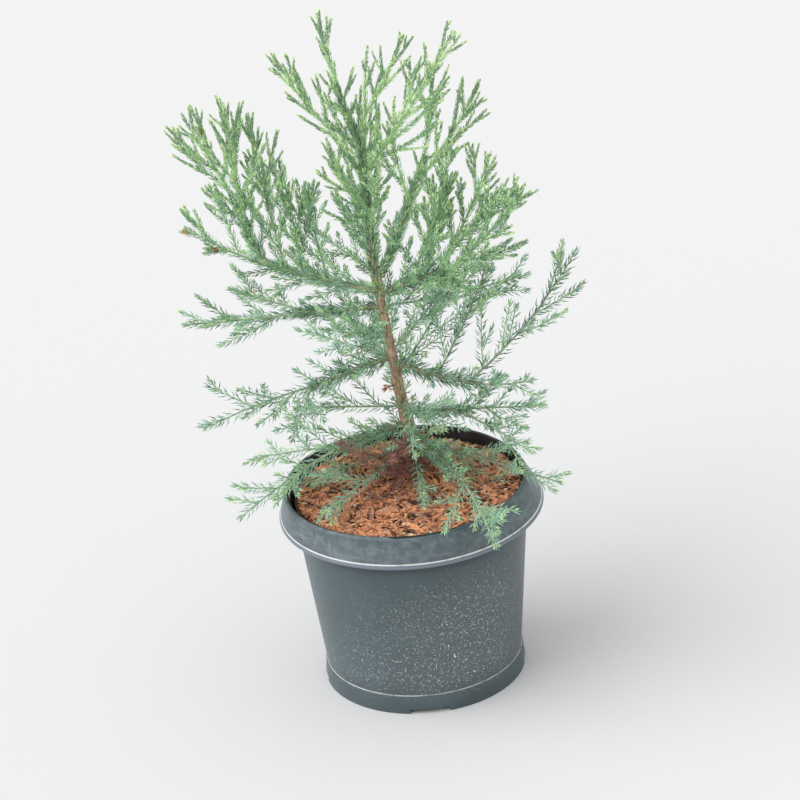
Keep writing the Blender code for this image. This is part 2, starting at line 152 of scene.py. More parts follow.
# A mass of foliage: the limb that its stem grows from and the place there, the stem's heading, rise,
# length and lift, how far its side shoots reach as a share of the stem beyond them, and their spread.
Mass = namedtuple("Mass", "name on at azimuth rise length lift reach spread")
MASSES = (
    Mass("leader_tip", "trunk", 300, -158, 80, 54, 0, 0.25, 30),
    Mass("leader_left", "trunk", 240, 152, 50, 96, 20, 0.36, 36),
    Mass("leader_right", "trunk", 262, 22, 56, 73, 10, 0.6, 40),
    Mass("leader_front_left", "trunk", 202, -117, 57, 84, 20, 0.4, 34),
    Mass("leader_front_right", "trunk", 190, -76, 57, 84, 20, 0.5, 38),
    Mass("leader_back", "trunk", 215, 88, 28, 76, 30, 0.6, 45),
    Mass("leader_left_mid", "trunk", 182, 178, 58, 40, 20, 0.5, 40),
    Mass("leader_diagonal", "trunk", 232, -25, 56, 132, 10, 0.45, 38),
    Mass("second_top", "second_stem", 1.0, 60, 68, 66, 10, 0.55, 38),
    Mass("second_right", "second_stem", 0.85, -12, 57, 88, 15, 0.4, 36),
    Mass("second_back", "second_stem", 0.65, 102, 42, 62, 20, 0.6, 40),
    Mass("right_high_front", "bough_right_high", 0.5, -55, 62, 84, 15, 0.55, 40),
    Mass("right_high_left", "bough_right_high", 0.7, 5, 76, 96, 10, 0.5, 38),
    Mass("right_high_top", "bough_right_high", 0.9, 10, 62, 92, 15, 0.6, 38),
    Mass("right_high_out", "bough_right_high", 1.0, -28, 48, 98, 20, 0.5, 38),
    Mass("right_high_low", "bough_right_high", 0.8, -66, 26, 88, 20, 0.5, 42),
    Mass("right_mid", "trunk", 124, 25, -4, 116, 10, 0.5, 42),
    Mass("right_long_top", "bough_right_long", 0.9, 18, 43, 120, 25, 0.42, 52),
    Mass("right_long_out", "bough_right_long", 1.0, -30, 12, 45, 15, 0.6, 48),
    Mass("right_long_in", "bough_right_long", 0.5, 8, 62, 88, 10, 0.5, 42),
    Mass("back_right_low", "trunk", 70, 44, 40, 100, 20, 0.6, 42),
    Mass("right_low_out", "bough_right_low", 1.0, -14, 3, 55, 0, 0.7, 45),
    Mass("right_low_droop", "bough_right_low", 0.8, -48, -8, 76, -20, 0.6, 45),
    Mass("foot_right", "trunk", 13, -39, -1, 126, -4, 0.36, 42),
    Mass("foot_front_right", "bough_front_foot", 1.0, -78, -5, 96, -18, 0.45, 42),
    Mass("foot_front", "trunk", 12, -88, -1, 92, 0, 0.35, 40),
    Mass("left_high_out", "bough_left_rise", 1.0, 172, 65, 78, 0, 0.75, 42),
    Mass("left_high_top", "bough_left_rise", 0.8, -100, 75, 102, 0, 0.55, 36),
    Mass("left_high_in", "bough_left_high", 0.75, 140, 80, 116, 10, 0.5, 38),
    Mass("left_high_back", "bough_left_high", 0.6, 100, 50, 84, 10, 0.5, 38),
    Mass("left_high_low", "bough_left_high", 1.0, -166, 37, 58, 15, 0.9, 44),
    Mass("left_inner", "bough_left_high", 0.4, 104, 47, 70, 15, 0.5, 38),
    Mass("back_mid", "trunk", 146, 100, 25, 86, 20, 0.6, 42),
    Mass("left_mid_out", "bough_left_mid", 1.0, -172, 3, 80, 5, 0.5, 42),
    Mass("left_mid_back", "bough_left_mid", 0.85, 145, 6, 64, 10, 0.6, 42),
    Mass("front_left_mid", "trunk", 106, -118, 26, 94, 10, 0.5, 42),
    Mass("left_low_out", "bough_left_low", 1.0, -162, -9, 82, -12, 0.5, 42),
    Mass("left_low_front", "bough_left_low", 1.0, -105, -10, 62, -5, 0.45, 40),
    Mass("back_left_low", "trunk", 84, 128, -6, 96, 5, 0.5, 42),
    Mass("left_foot_side", "trunk", 44, -178, 6, 72, 0, 0.45, 42),
    Mass("left_foot_out", "bough_left_foot", 1.0, -152, -19, 84, -14, 0.5, 42),
    Mass("left_foot_back", "bough_left_foot", 0.85, 154, -15, 76, -5, 0.5, 42),
    Mass("foot_left", "trunk", 12, -149, 1, 106, 0, 0.4, 42),
    Mass("foot_front_left", "trunk", 10, -122, 3, 130, -6, 0.4, 42),
    Mass("front_low", "trunk", 48, -74, 12, 96, 0, 0.6, 42),
    Mass("back_low", "trunk", 56, 95, 16, 92, 20, 0.6, 42),
    Mass("right_inner", "trunk", 92, -20, 52, 66, 10, 0.6, 40),
)

# Dry and rusty shoots low on the trunk: height above the compost, heading, rise and length.
DRY_SHOOTS = (
    (17, -122, -9, 48),
    (16, -100, -10, 52),
    (12, -60, -4, 30),
    (10, -150, -2, 26),
    (12, -82, -2, 28),
    (15, -93, -14, 46),
    (14, -128, -11, 46),
)
RUSTY_SHOOTS = (
    (26, -168, 12, 16),
    (20, -22, 14, 24),
    (62, -130, 10, 12),
)
# Masses with withered buds, and those whose shoots are dry up to a share of the stem's length.
SCORCHED_MASSES = ("left_high_out", "left_high_low")
DRY_AT_ROOT = ("foot_front", "foot_front_left")
DRY_SHARE = 0.42

# ---------------------------------------------------------------- settings


def length(name, description, default):
    return bpy.props.FloatProperty(name=name, description=description, default=default, unit="LENGTH", min=0)


def angle(name, description, degrees):
    default = math.radians(degrees)
    return bpy.props.FloatProperty(name=name, description=description, default=default, subtype="ANGLE")


def colour(name, description, default):
    return bpy.props.FloatVectorProperty(
        name=name, description=description, default=default, subtype="COLOR", size=3, min=0, max=1
    )


def number(name, description, default):
    return bpy.props.FloatProperty(name=name, description=description, default=default, min=0)


class NeedleSettings(bpy.types.PropertyGroup):
    """Needles: short and close on the sunlit top growth, long and spreading on the low shaded sprays."""

    top_length: length("Top needle", "Length of a needle on the top growth", 0.0036)
    low_length: length("Low needle", "Length of a needle on the low sprays", 0.0080)
    top_width: length("Top width", "Width of a top needle at its widest", 0.00080)
    low_width: length("Low width", "Width of a low needle at its widest", 0.00095)
    top_lean: angle("Top lean", "Angle between a top needle and its shoot", 17)
    low_lean: angle("Low lean", "Angle between a low needle and its shoot", 46)
    top_count: number("Top count", "Needles on each centimetre of top growth", 19)
    low_count: number("Low count", "Needles on each centimetre of a low spray", 9.0)


class FoliageColours(bpy.types.PropertyGroup):
    """Plain colours that are dealt out to the needles by spray and by place along a shoot."""

    # Near the soil the lighter kinds are dealt out more often, as painted light against the crown's shade.
    fresh: colour("Fresh green", "Young needles of the top growth", (0.56, 0.81, 0.42))
    bright: colour("Bright green", "Needles near the tips", (0.66, 0.88, 0.48))
    tip: colour("Yellow-green", "The growing point of a shoot", (0.76, 0.94, 0.48))
    deep: colour("Deep green", "Older needles inside the top growth", (0.24, 0.40, 0.24))
    blue: colour("Blue-green", "Bloomy needles of the low sprays", (0.26, 0.46, 0.31))
    pale_blue: colour("Pale blue-green", "Needles with the most bloom", (0.38, 0.60, 0.46))
    deep_blue: colour("Deep blue-green", "Shaded needles of the low sprays", (0.115, 0.21, 0.145))
    dead: colour("Purple-brown", "Dry needles on the lowest twigs", (0.34, 0.175, 0.16))
    rust: colour("Rust", "Single withered needles", (0.62, 0.26, 0.07))
    twig: colour("Green twig", "Bark of the young shoots", (0.40, 0.58, 0.30))
    wood: colour("Twig wood", "Bark of the older twigs", (0.37, 0.46, 0.30))
    dry_twig: colour("Dry twig", "Bark of the dry and rusty shoots", (0.36, 0.19, 0.13))


class BarkSettings(bpy.types.PropertyGroup):
    """Trunk and boughs."""

    ridge: length("Ridge", "Height of the bark's ridges on the trunk", 0.00045)
    light: colour("Light bark", "Colour of the ridges", (0.62, 0.44, 0.31))
    dark: colour("Dark bark", "Colour of the furrows", (0.27, 0.16, 0.105))
    young_light: colour("Light young bark", "Colour of the ridges on the boughs", (0.42, 0.45, 0.28))
    young_dark: colour("Dark young bark", "Colour of the furrows on the boughs", (0.20, 0.17, 0.10))


class PotSettings(bpy.types.PropertyGroup):
    """The nursery pot."""

    plastic: colour("Plastic", "Colour of the moulded plastic", (0.063, 0.093, 0.103))
    # The inside colour is painted shade: near black on the inside of the pot and on the lip's inner slope,
    # and in a band under the bead.
    inside: colour("Inside", "Colour of the damp inner wall", (0.020, 0.025, 0.030))
    # The bead colour is painted sheen: a lighter, bluer grey than the plastic, laid on the bead's outer face.
    strip: colour("Bead", "Colour of the bead's outer face", (0.21, 0.26, 0.31))
    scuffed: colour("Scuffed", "Colour where the plastic is rubbed", (0.33, 0.385, 0.42))
    # The mineral colour also paints the line along the bead's top edge, partly as rubbed wear and partly as
    # painted highlight.
    mineral: colour("Mineral", "Colour of the dried water marks", (0.78, 0.79, 0.78))
    lip_wave: length("Lip wave", "How far the mouth is out of true", 0.0008)
    mouth_lean: length("Mouth lean", "How far the mouth is set over to the left of the bead", 0.0032)
    round_sides: bpy.props.IntProperty(name="Sides", description="Faces round the pot", default=192, min=24)


class CompostSettings(bpy.types.PropertyGroup):
    """Bark chips that top the pot."""

    chips: bpy.props.IntProperty(name="Chips", description="Number of loose chips", default=7000, min=0)
    longest: length("Longest chip", "Length of the longest chips", 0.019)
    orange: colour("Orange chip", "Fresh inner bark", (0.77, 0.35, 0.17))
    red: colour("Red chip", "Most of the chips", (0.64, 0.30, 0.175))
    brown: colour("Brown chip", "Weathered chips", (0.40, 0.215, 0.14))
    tan: colour("Tan chip", "Pale fibrous chips", (0.76, 0.55, 0.36))
    dark: colour("Dark chip", "Wet chips and the gaps between", (0.10, 0.052, 0.036))
    grit: colour("Grit", "White mineral grains", (0.80, 0.79, 0.75))


class StageSettings(bpy.types.PropertyGroup):
    """Floor, light and camera."""

    floor: colour("Floor", "Colour of the floor", (0.80, 0.80, 0.805))
    sky: number("Sky", "Strength of the even light from all sides", 0.77)
    sun: number("Sun", "Strength of the veiled sun, in watts on a square metre", 1.85)
    veil: angle("Veil", "How wide the sun looks through the cloud", 70)
    lens: bpy.props.FloatProperty(name="Lens", description="Focal length in millimetres", default=177.9)
    rise: angle("Camera rise", "How far the camera looks down on the pot's rim", 27.8)
    roll: angle("Camera roll", "How far the picture leans", 5.35)
    distance: length("Distance", "From the camera to the pot's rim", 2.85)


# ---------------------------------------------------------------- mesh helpers


def unit(vector):
    return vector / np.linalg.norm(vector)


def rows_unit(rows):
    return rows / np.maximum(np.linalg.norm(rows, axis=1, keepdims=True), 1e-12)


def mesh_object(name, points, faces, materials=(), kinds=None, smooth=True):
    """An object from points in millimetres and faces: one array, or a list of arrays with 3 to n columns."""
    groups = [np.asarray(group, np.int32) for group in (faces if isinstance(faces, list) else [faces])]
    mesh = bpy.data.meshes.new(name)
    points = np.asarray(points, np.float32) * MM
    corners = np.concatenate([group.reshape(-1) for group in groups])
    totals = np.concatenate([np.full(len(group), group.shape[1], np.int32) for group in groups])
    starts = np.concatenate(([0], np.cumsum(totals)[:-1])).astype(np.int32)
    mesh.vertices.add(len(points))
    mesh.vertices.foreach_set("co", points.reshape(-1))
    mesh.loops.add(len(corners))
    mesh.loops.foreach_set("vertex_index", corners)
    mesh.polygons.add(len(totals))
    mesh.polygons.foreach_set("loop_start", starts)
    mesh.polygons.foreach_set("loop_total", totals)
    for made in materials:
        mesh.materials.append(made)
    if kinds is not None:
        mesh.polygons.foreach_set("material_index", np.asarray(kinds, np.int32))
    mesh.polygons.foreach_set("use_smooth", np.full(len(totals), smooth))
    mesh.update(calc_edges=True)
    mesh.validate()
    made = bpy.data.objects.new(name, mesh)
    bpy.context.scene.collection.objects.link(made)
    return made


def read_rows(items, attribute):
    """A vector of each of a mesh's vertices or faces, in rows."""
    rows = np.empty(len(items) * 3, np.float32)
    items.foreach_get(attribute, rows)
    return rows.reshape(-1, 3)


def piece(made, slot, *nodes):
    """A finished piece: it rides with the plant and stands for its nodes. Its slot is not used."""
    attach(made, "root")
    if nodes:
        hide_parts(*nodes)
    return made


def ring_faces(rows, sides, first=0):
    """Quads between rows of a tube whose points run round, row by row."""
    row, col = np.meshgrid(np.arange(rows - 1), np.arange(sides), indexing="ij")
    here, ahead = row * sides, (col + 1) % sides
    quads = (here + col, here + ahead, here + sides + ahead, here + sides + col)
    return np.stack(quads, -1).reshape(-1, 4) + first


def cap(sides, first, point, outward=True):
    """Triangles that join a ring of points, from first on, to a single point."""
    here = first + np.arange(sides)
    ahead = first + (np.arange(sides) + 1) % sides
    edge = (here, ahead) if outward else (ahead, here)
    return np.stack([*edge, np.full(sides, point)], 1)


def closed_tube(rows, sides, start):
    """Faces of a tube of rings, closed at its start and at its end by the two points from start on."""
    fans = [cap(sides, 0, start, False), cap(sides, (rows - 1) * sides, start + 1)]
    return [ring_faces(rows, sides), np.concatenate(fans)]


def turns(sides):
    """Evenly spaced angles, once round."""
    return 2 * np.pi * np.arange(sides) / sides


def carried_frames(points):
    """Directions along a path, with a side and an upper direction carried along it without twist."""
    steps = np.gradient(points, axis=0)
    along_path = rows_unit(steps)
    side, _ = cross_axes(along_path[0])
    sides = []
    for direction in along_path:
        side = unit(side - (side @ direction) * direction)
        sides.append(side)
    sides = np.array(sides)
    return along_path, sides, np.cross(sides, along_path)


def tube_points(points, radii, sides):
    """Rings of points round a path, in the order that turns ring_faces outward."""
    _, across, above = carried_frames(points)
    turn = -turns(sides)
    ring = np.cos(turn)[None, :, None] * across[:, None] + np.sin(turn)[None, :, None] * above[:, None]
    return points[:, None] + np.asarray(radii).reshape(len(points), -1, 1) * ring


# ---------------------------------------------------------------- growth, by the same rule as the solids


def heading(azimuth, rise):
    turn, tilt = math.radians(azimuth), math.radians(rise)
    return np.array([math.cos(tilt) * math.cos(turn), math.cos(tilt) * math.sin(turn), math.sin(tilt)])


def arc(start, azimuth, rise, reach, lift, steps):
    """Points on a limb that turns up by lift degrees, evenly about its mean rise."""
    points = [np.array(start, float)]
    for k in range(steps):
        here = rise + lift * ((k + 0.5) / steps - 0.5)
        points.append(points[-1] + heading(azimuth, here) * reach / steps)
    return np.array(points)


def along(points, share):
    """The point and the direction at a share of a path's length."""
    spans = np.linalg.norm(np.diff(points, axis=0), axis=1)
    ends = np.concatenate(([0.0], np.cumsum(spans)))
    far = share * ends[-1]
    k = min(int(np.searchsorted(ends, far, side="right")) - 1, len(spans) - 1)
    part = (far - ends[k]) / spans[k]
    return points[k] + part * (points[k + 1] - points[k]), unit(points[k + 1] - points[k])


def cross_axes(direction):
    """Two directions square to a direction: sideways, and the nearest to straight up."""
    level = UP if abs(direction[2]) < 0.96 else np.array([0.0, 1.0, 0.0])
    above = unit(level - (level @ direction) * direction)
    return np.cross(direction, above), above


def outward_of(direction, roll, upright=1.0):
    """A direction square to another: sideways, turned round it by roll degrees, with its rise scaled."""
    side, above = cross_axes(direction)
    turn = math.radians(roll)
    return math.cos(turn) * side + upright * math.sin(turn) * above


def trunk_path(height_shares):
    heights = TRUNK_HEIGHT * np.asarray(height_shares, float)
    lean = TRUNK_FOOT_Y + TRUNK_LEAN_Y * heights / TRUNK_HEIGHT
    across = np.interp(heights, TRUNK_BEND_HEIGHTS, TRUNK_BEND_X)
    return np.stack([across, lean, SOIL_LEVEL + GAP + heights], axis=1)


def trunk_radius(height):
    taper = TRUNK_DIAMETER + (TRUNK_TOP_DIAMETER - TRUNK_DIAMETER) * (height / TRUNK_HEIGHT) ** 0.8
    return taper / 2 + FLARE * math.exp(-height / FLARE_HEIGHT)


def foot_on(limb, at, azimuth, rise, radius):
    """Where a limb or stem starts on the side of what it grows from, or at that limb's tip."""
    points, radii = limb
    share = at / TRUNK_HEIGHT if at > 1 else at
    centre, direction = along(points, share)
    own = heading(azimuth, rise)
    slant = abs(own @ direction)
    if share >= 1:
        return centre + own * (GAP + (radius + radii[-1]) * math.sqrt(max(0.0, 1 - slant * slant)))
    carrier = float(np.interp(share, np.linspace(0, 1, len(radii)), radii))
    outward = unit(own - (own @ direction) * direction)
    return centre + outward * (carrier + GAP + radius * slant)


@functools.lru_cache(maxsize=None)
def limb_paths():
    """Every limb as its points and radii, the trunk first."""
    even = np.linspace(0, 1, TRUNK_ROWS)
    limbs = {"trunk": (trunk_path(even), [trunk_radius(share * TRUNK_HEIGHT) for share in even])}
    for bough in BOUGHS:
        root = bough.diameter / 2
        start = foot_on(limbs[bough.on], bough.at, bough.azimuth, bough.rise - bough.lift / 2, root)
        points = arc(start, bough.azimuth, bough.rise, bough.length, bough.lift, 4)
        limbs[bough.name] = (points, list(np.linspace(root, root * BOUGH_TIP_SHARE, 5)))
    return limbs


def side_shoots(path, mass, flat):
    """The side shoots of a stem, in a spiral round it: their paths and lengths.

    Those that the solids leave out lie flatter, by the share given.
    """
    dice = random.Random(mass.name)
    roll = dice.uniform(0, 360)
    share = FIRST_SHOOT / mass.length
    shoots = []
    while share < LAST_SHOOT:
        roll += GOLDEN_TURN + dice.uniform(-15, 15)
        spread = math.radians(mass.spread * (1.15 - 0.4 * share) + dice.uniform(-5, 5))
        swell = dice.uniform(0.85, 1.1)
        root, direction = along(path, share)
        around = unit(outward_of(direction, roll, 1 - flat * (len(shoots) % KEEP_EVERY)))
        start = unit(math.cos(spread) * direction + math.sin(spread) * around + SHOOT_RISE * UP)
        left = mass.length * (1 - share)
        reach = min((mass.reach * left + SPRAY_TIP) * swell, left / max(0.4, start @ direction) + 1)
        shoots.append((curled(root, start, direction, reach), reach))
        share += SHOOT_PITCH * dice.uniform(0.8, 1.2) / mass.length
    return shoots


def curled(root, start, direction, reach):
    """A shoot that leaves along start and turns towards its carrier's direction and the light."""
    points = [root]
    for k in range(SHOOT_STEPS):
        turn = SHOOT_CURL * (k + 0.5) / SHOOT_STEPS
        points.append(points[-1] + unit(start + turn * (direction + UP / 2)) * reach / SHOOT_STEPS)
    return np.array(points)


# ---------------------------------------------------------------- finer growth

# A shoot: its path, radius at the root and tip, how open its needles are (0 top growth, 1 low sprays),
# its level of branching (0 a stem or limb), and its kind: "live", "dry", "scorched", or "clad" for needles
# that are set on a limb's own bark.
Shoot = namedtuple("Shoot", "points root_radius tip_radius openness level kind")
# The lowest that a shoot may lie, by its distance from the pot's axis: on the compost, over the lip,
# down the collar and off its edge.
REST_REACH = (0, 82, 86, 90, 97, 98)
REST_HEIGHT = (SOIL_LEVEL, SOIL_LEVEL, POT_HEIGHT + 0.5, POT_HEIGHT - 3, BEAD_HEIGHT, 0)
CLEAR_OF_SOIL = 1.2
OPEN_BELOW = 255.0
CLOSED_ABOVE = 385.0
FORKS_FROM = (16.0, 28.0)
# How close the finest shoots sit, where 1 is usual, by how a mass's or a limb's name starts.
CROWDING = (
    (1.2, ("left_high_out", "left_high_top", "left_high_in")),
    (2.5, ("left_high", "left_inner", "right_high_low", "right_high_front")),
    (2.7, ("right_high",)),
    (1.5, ("left_mid", "front_left_mid")),
    (0.75, ("leader_tip", "leader_left", "leader_right", "second_top")),
    (0.6, ("foot", "trunk foot")),
)
# The finest shoots: on top growth and on low sprays, the mm between them and the share that fails.
TWIG_PITCH = (9.0, 13.5)
TWIG_LOSS = (0.15, 0.4)
TWIG_SPREAD = (23, 33)
OPEN_SPREAD = 12
LAST_TWIG = 0.8
SHORTEST_TWIG = 7.0
FLATTEST = 0.75
# How far a stem's twig is set into the limb that it grows from.
ROOTED = 2.5
TRUNK_ROWS = 61
BARE_ROWS = 26
SCORCHED_BUD = 5.0
# Short shoots on the trunk: from and to a share of its length, one in so many mm, shortest and longest.
TRUNK_TUFTS = (
    ("trunk foot", 0.08, 0.22, 6.0, 14, 30),
    ("trunk low", 0.22, 0.5, 6.0, 12, 30),
    ("trunk high", 0.5, 0.98, 5.0, 14, 36),
)
TUFT_PITCH = 5.5


def mixed(first, second, share):
    return first + (second - first) * share


def share_between(value, first, last):
    """0 up to first and 1 from last on."""
    return np.clip((value - first) / (last - first), 0, 1)


def openness_at(height):
    """How open the growth is at a height: 0 close, as in full sun, to 1 spreading, as in shade."""
    return float(share_between(height, CLOSED_ABOVE, OPEN_BELOW))


def resting(points):
    """Keeps a shoot above the compost and outside the pot's wall and collar."""
    reach = np.hypot(points[:, 0], points[:, 1])
    lowest = np.interp(reach, REST_REACH, REST_HEIGHT) + CLEAR_OF_SOIL
    lowest[0] = min(lowest[0], points[0, 2])
    settled = points.copy()
    settled[:, 2] = np.maximum(points[:, 2], lowest)
    return settled


def crowding_of(name):
    return next((share for share, starts in CROWDING if name.startswith(starts)), 1.0)


def twiglets(points, reach, dice, openness, crowding):
    """Finer shoots on a shoot: nearly flat on low sprays, all round on the top growth."""
    roll = dice.uniform(0, 360)
    share = max(dice.uniform(0.18, 0.3), 5.0 / reach)
    made = []
    while share < LAST_TWIG:
        roll += GOLDEN_TURN + dice.uniform(-20, 20)
        spread = math.radians(dice.uniform(*TWIG_SPREAD) + OPEN_SPREAD * openness)
        root, direction = along(points, share)
        around = unit(outward_of(direction, roll, 1 - FLATTEST * openness))
        start = unit(math.cos(spread) * direction + math.sin(spread) * around + 0.08 * UP)
        left = reach * (1 - share)
        size = min((0.5 * left + 6.0) * dice.uniform(0.65, 1.2), left / max(0.5, start @ direction) + 1)
        if dice.uniform(0, 1) > mixed(*TWIG_LOSS, openness):
            made.append((curled(root, start, direction, size), size))
        share += mixed(*TWIG_PITCH, openness) / crowding * dice.uniform(0.7, 1.3) / reach
    return made


def grow(shoots, points, reach, name, level, radius, kind="live"):
    """Adds a shoot and, where it is long enough, the finest shoots on it."""
    points = resting(points)
    openness = openness_at(points[:, 2].mean())
    shoots.append(Shoot(points, radius, 0.35, openness, level, kind))
    if level > 1 or reach < mixed(*FORKS_FROM, openness):
        return
    for finer, size in twiglets(points, reach, random.Random(name), openness, crowding_of(name)):
        if size > SHORTEST_TWIG:
            shoots.append(Shoot(resting(finer), radius * 0.75, 0.3, openness, 2, kind))


@functools.lru_cache(maxsize=None)
def all_shoots():
    """Every shoot of the plant: the masses' stems, their shoots, and the short ones along the limbs."""
    limbs, shoots = limb_paths(), []
    for mass in MASSES:
        start = foot_on(limbs[mass.on], mass.at, mass.azimuth, mass.rise - mass.lift / 2, STEM_RADIUS)
        path = arc(start, mass.azimuth, mass.rise, mass.length, mass.lift, 8)
        back = start - unit(path[1] - path[0]) * ROOTED
        stem = resting(np.concatenate(([back], path)))
        openness = openness_at(path[:, 2].mean())
        shoots.append(Shoot(stem, STEM_RADIUS * 0.85, 0.4, openness, 0, "live"))
        dice = random.Random(mass.name + " between")
        for k, (points, reach) in enumerate(side_shoots(path, mass, 0.8 * openness)):
            if k % KEEP_EVERY:
                if dice.uniform(0, 1) < 0.5 * openness / crowding_of(mass.name):
                    continue
                part = dice.uniform(mixed(0.55, 0.35, openness), mixed(0.95, 0.7, openness))
                points, reach = points[0] + (points - points[0]) * part, reach * part
            near_root = np.linalg.norm(points[0] - start) < DRY_SHARE * mass.length
            kind = "dry" if near_root and mass.name in DRY_AT_ROOT else "live"
            grow(shoots, points, reach, f"{mass.name} {k}", 1, 0.55, kind)
            if mass.name in SCORCHED_MASSES and k % 3 == 1:
                root, direction = along(points, 0.45)
                bud = curled(root, direction, UP, SCORCHED_BUD)
                shoots.append(Shoot(bud, 1.1, 0.6, openness, 2, "scorched"))
    for bough in BOUGHS:
        points, radii = limbs[bough.name]
        shoots.append(clad_limb(points, radii[0] * 0.9, radii[-1] * 0.9))
        add_tufts(shoots, points, bough.name, 0.15, 1.0, TUFT_PITCH, bough.tuft * 0.4, bough.tuft)
    points, radii = limbs["trunk"]
    shoots.append(clad_limb(points[BARE_ROWS:], radii[BARE_ROWS] * 0.85, radii[-1]))
    for tuft in TRUNK_TUFTS:
        add_tufts(shoots, points, *tuft)
    for kind, group in (("dry", DRY_SHOOTS), ("scorched", RUSTY_SHOOTS)):
        for height, azimuth, rise, reach in group:
            start = along(points, height / TRUNK_HEIGHT)[0] + heading(azimuth, 0) * 4
            straight = np.linspace(0, 1, SHOOT_STEPS + 1)[:, None] * heading(azimuth, rise) * reach
            grow(shoots, start + straight, reach, f"{kind} {azimuth}", 1, 0.55, kind)
    return shoots


def clad_limb(points, root_radius, tip_radius):
    return Shoot(points, root_radius, tip_radius, openness_at(points[:, 2].mean()), 0, "clad")


def add_tufts(shoots, points, name, first, last, pitch, least, most):
    """Short shoots along a limb, between two shares of its length."""
    dice = random.Random(name + " tufts")
    span = np.linalg.norm(np.diff(points, axis=0), axis=1).sum()
    roll, share = dice.uniform(0, 360), first
    while share < last:
        roll += GOLDEN_TURN + dice.uniform(-20, 20)
        root, direction = along(points, share)
        start = unit(0.9 * direction + outward_of(direction, roll) + 0.2 * UP)
        reach = dice.uniform(least, most)
        grow(shoots, curled(root, start, direction, reach), reach, f"{name} {share:.3f}", 1, 0.5)
        share += pitch * dice.uniform(0.8, 1.2) / span


# ---------------------------------------------------------------- needles

NEEDLE_KINDS = ("fresh", "bright", "tip", "deep", "blue", "pale_blue", "deep_blue", "dead", "rust")
KIND = {name: k for k, name in enumerate(NEEDLE_KINDS)}
BUD_NEEDLES = 7
BUD_REACH = (0.2, 4.5)
BUD_LENGTHS = (2.6, 3.8)
# Needles set on a limb's bark are this much closer and longer than those of a shoot.
CLAD_CLOSER, CLAD_LONGER = 3.2, 1.25
# How a shoot narrows to its growing tip: by mm from the tip, its needles' size and their lean.
TIP_SIZES = ((0, 2.5, 7), (0.6, 0.8, 1.0))
TIP_LEANS = ((0, 3, 11), (0.35, 0.6, 1.0))
# Needles grow longer with their distance from the tip, up to this far: on a shoot, and on a stem.
GROWN_AT, STEM_GROWN_AT = 45, 60
# Heights between which the top growth turns fresher, and the foot's sprays are painted lighter: painted light
# against the shade of the crown above.
FRESHER = (360, 460)
BY_THE_SOIL = (205, 165)
RUSTY_SHARE = {"dry": 0.04, "scorched": 0.85}
WITHERED_SHARE = 0.0008


def needle_rows(shoot, settings, dice):
    """The needles of one shoot: feet, directions along and out, lengths, widths, leans, kinds."""
    spans = np.linalg.norm(np.diff(shoot.points, axis=0), axis=1)
    ends = np.concatenate(([0.0], np.cumsum(spans)))
    reach, low = ends[-1], shoot.openness
    per_mm = mixed(settings.top_count, settings.low_count, low) / 10
    clad = shoot.kind == "clad"
    count = max(5, int(per_mm * reach * (CLAD_CLOSER if clad else 1.0)))
    place = reach * (np.arange(count) + dice.uniform(0, 1, count)) / count
    bud = np.zeros(count, bool)
    if not clad:
        place = np.concatenate((place, reach - dice.uniform(*BUD_REACH, BUD_NEEDLES)))
        bud = np.concatenate((bud, np.ones(BUD_NEEDLES, bool)))
        count += BUD_NEEDLES
    feet = np.stack([np.interp(place, ends, shoot.points[:, axis]) for axis in range(3)], 1)
    directions, sides, aboves = carried_frames(shoot.points)
    at_span = np.clip(np.searchsorted(ends, place) - 1, 0, len(shoot.points) - 1)
    ahead, side, above = directions[at_span], sides[at_span], aboves[at_span]
    turn = GOLDEN_TURN * np.arange(count) + dice.uniform(0, 360)
    turn = np.radians(turn + dice.normal(0, 14, count))[:, None]
    outward = np.cos(turn) * side + np.sin(turn) * above
    to_tip = reach - place
    old = np.clip(to_tip / GROWN_AT if shoot.level else 0.4 + to_tip / STEM_GROWN_AT, 0, 1)
    top_size = settings.top_length / MM * (0.8 + 0.65 * old)
    low_size = settings.low_length / MM * (0.88 + 0.2 * old)
    lengths = mixed(top_size, low_size, low) * dice.uniform(0.8, 1.12, count) * (CLAD_LONGER if clad else 1.0)
    lengths *= np.interp(to_tip, *TIP_SIZES)
    widths = np.full(count, mixed(settings.top_width, settings.low_width, low) / MM)
    leans = mixed(settings.top_lean + 0.2 * old, settings.low_lean, low)
    leans = (leans + dice.normal(0, math.radians(4.5), count)) * np.interp(to_tip, *TIP_LEANS)
    lengths = np.where(bud, dice.uniform(*BUD_LENGTHS, count), lengths)
    leans = np.where(bud, np.radians(dice.uniform(3, 11, count) + 12 * low), leans)
    radius = mixed(shoot.root_radius, shoot.tip_radius, place / reach)
    feet = feet + outward * (radius * np.where(bud, 0.9, 0.6))[:, None]
    return feet, ahead, outward, lengths, widths, leans, needle_kinds(shoot, to_tip, bud, dice)


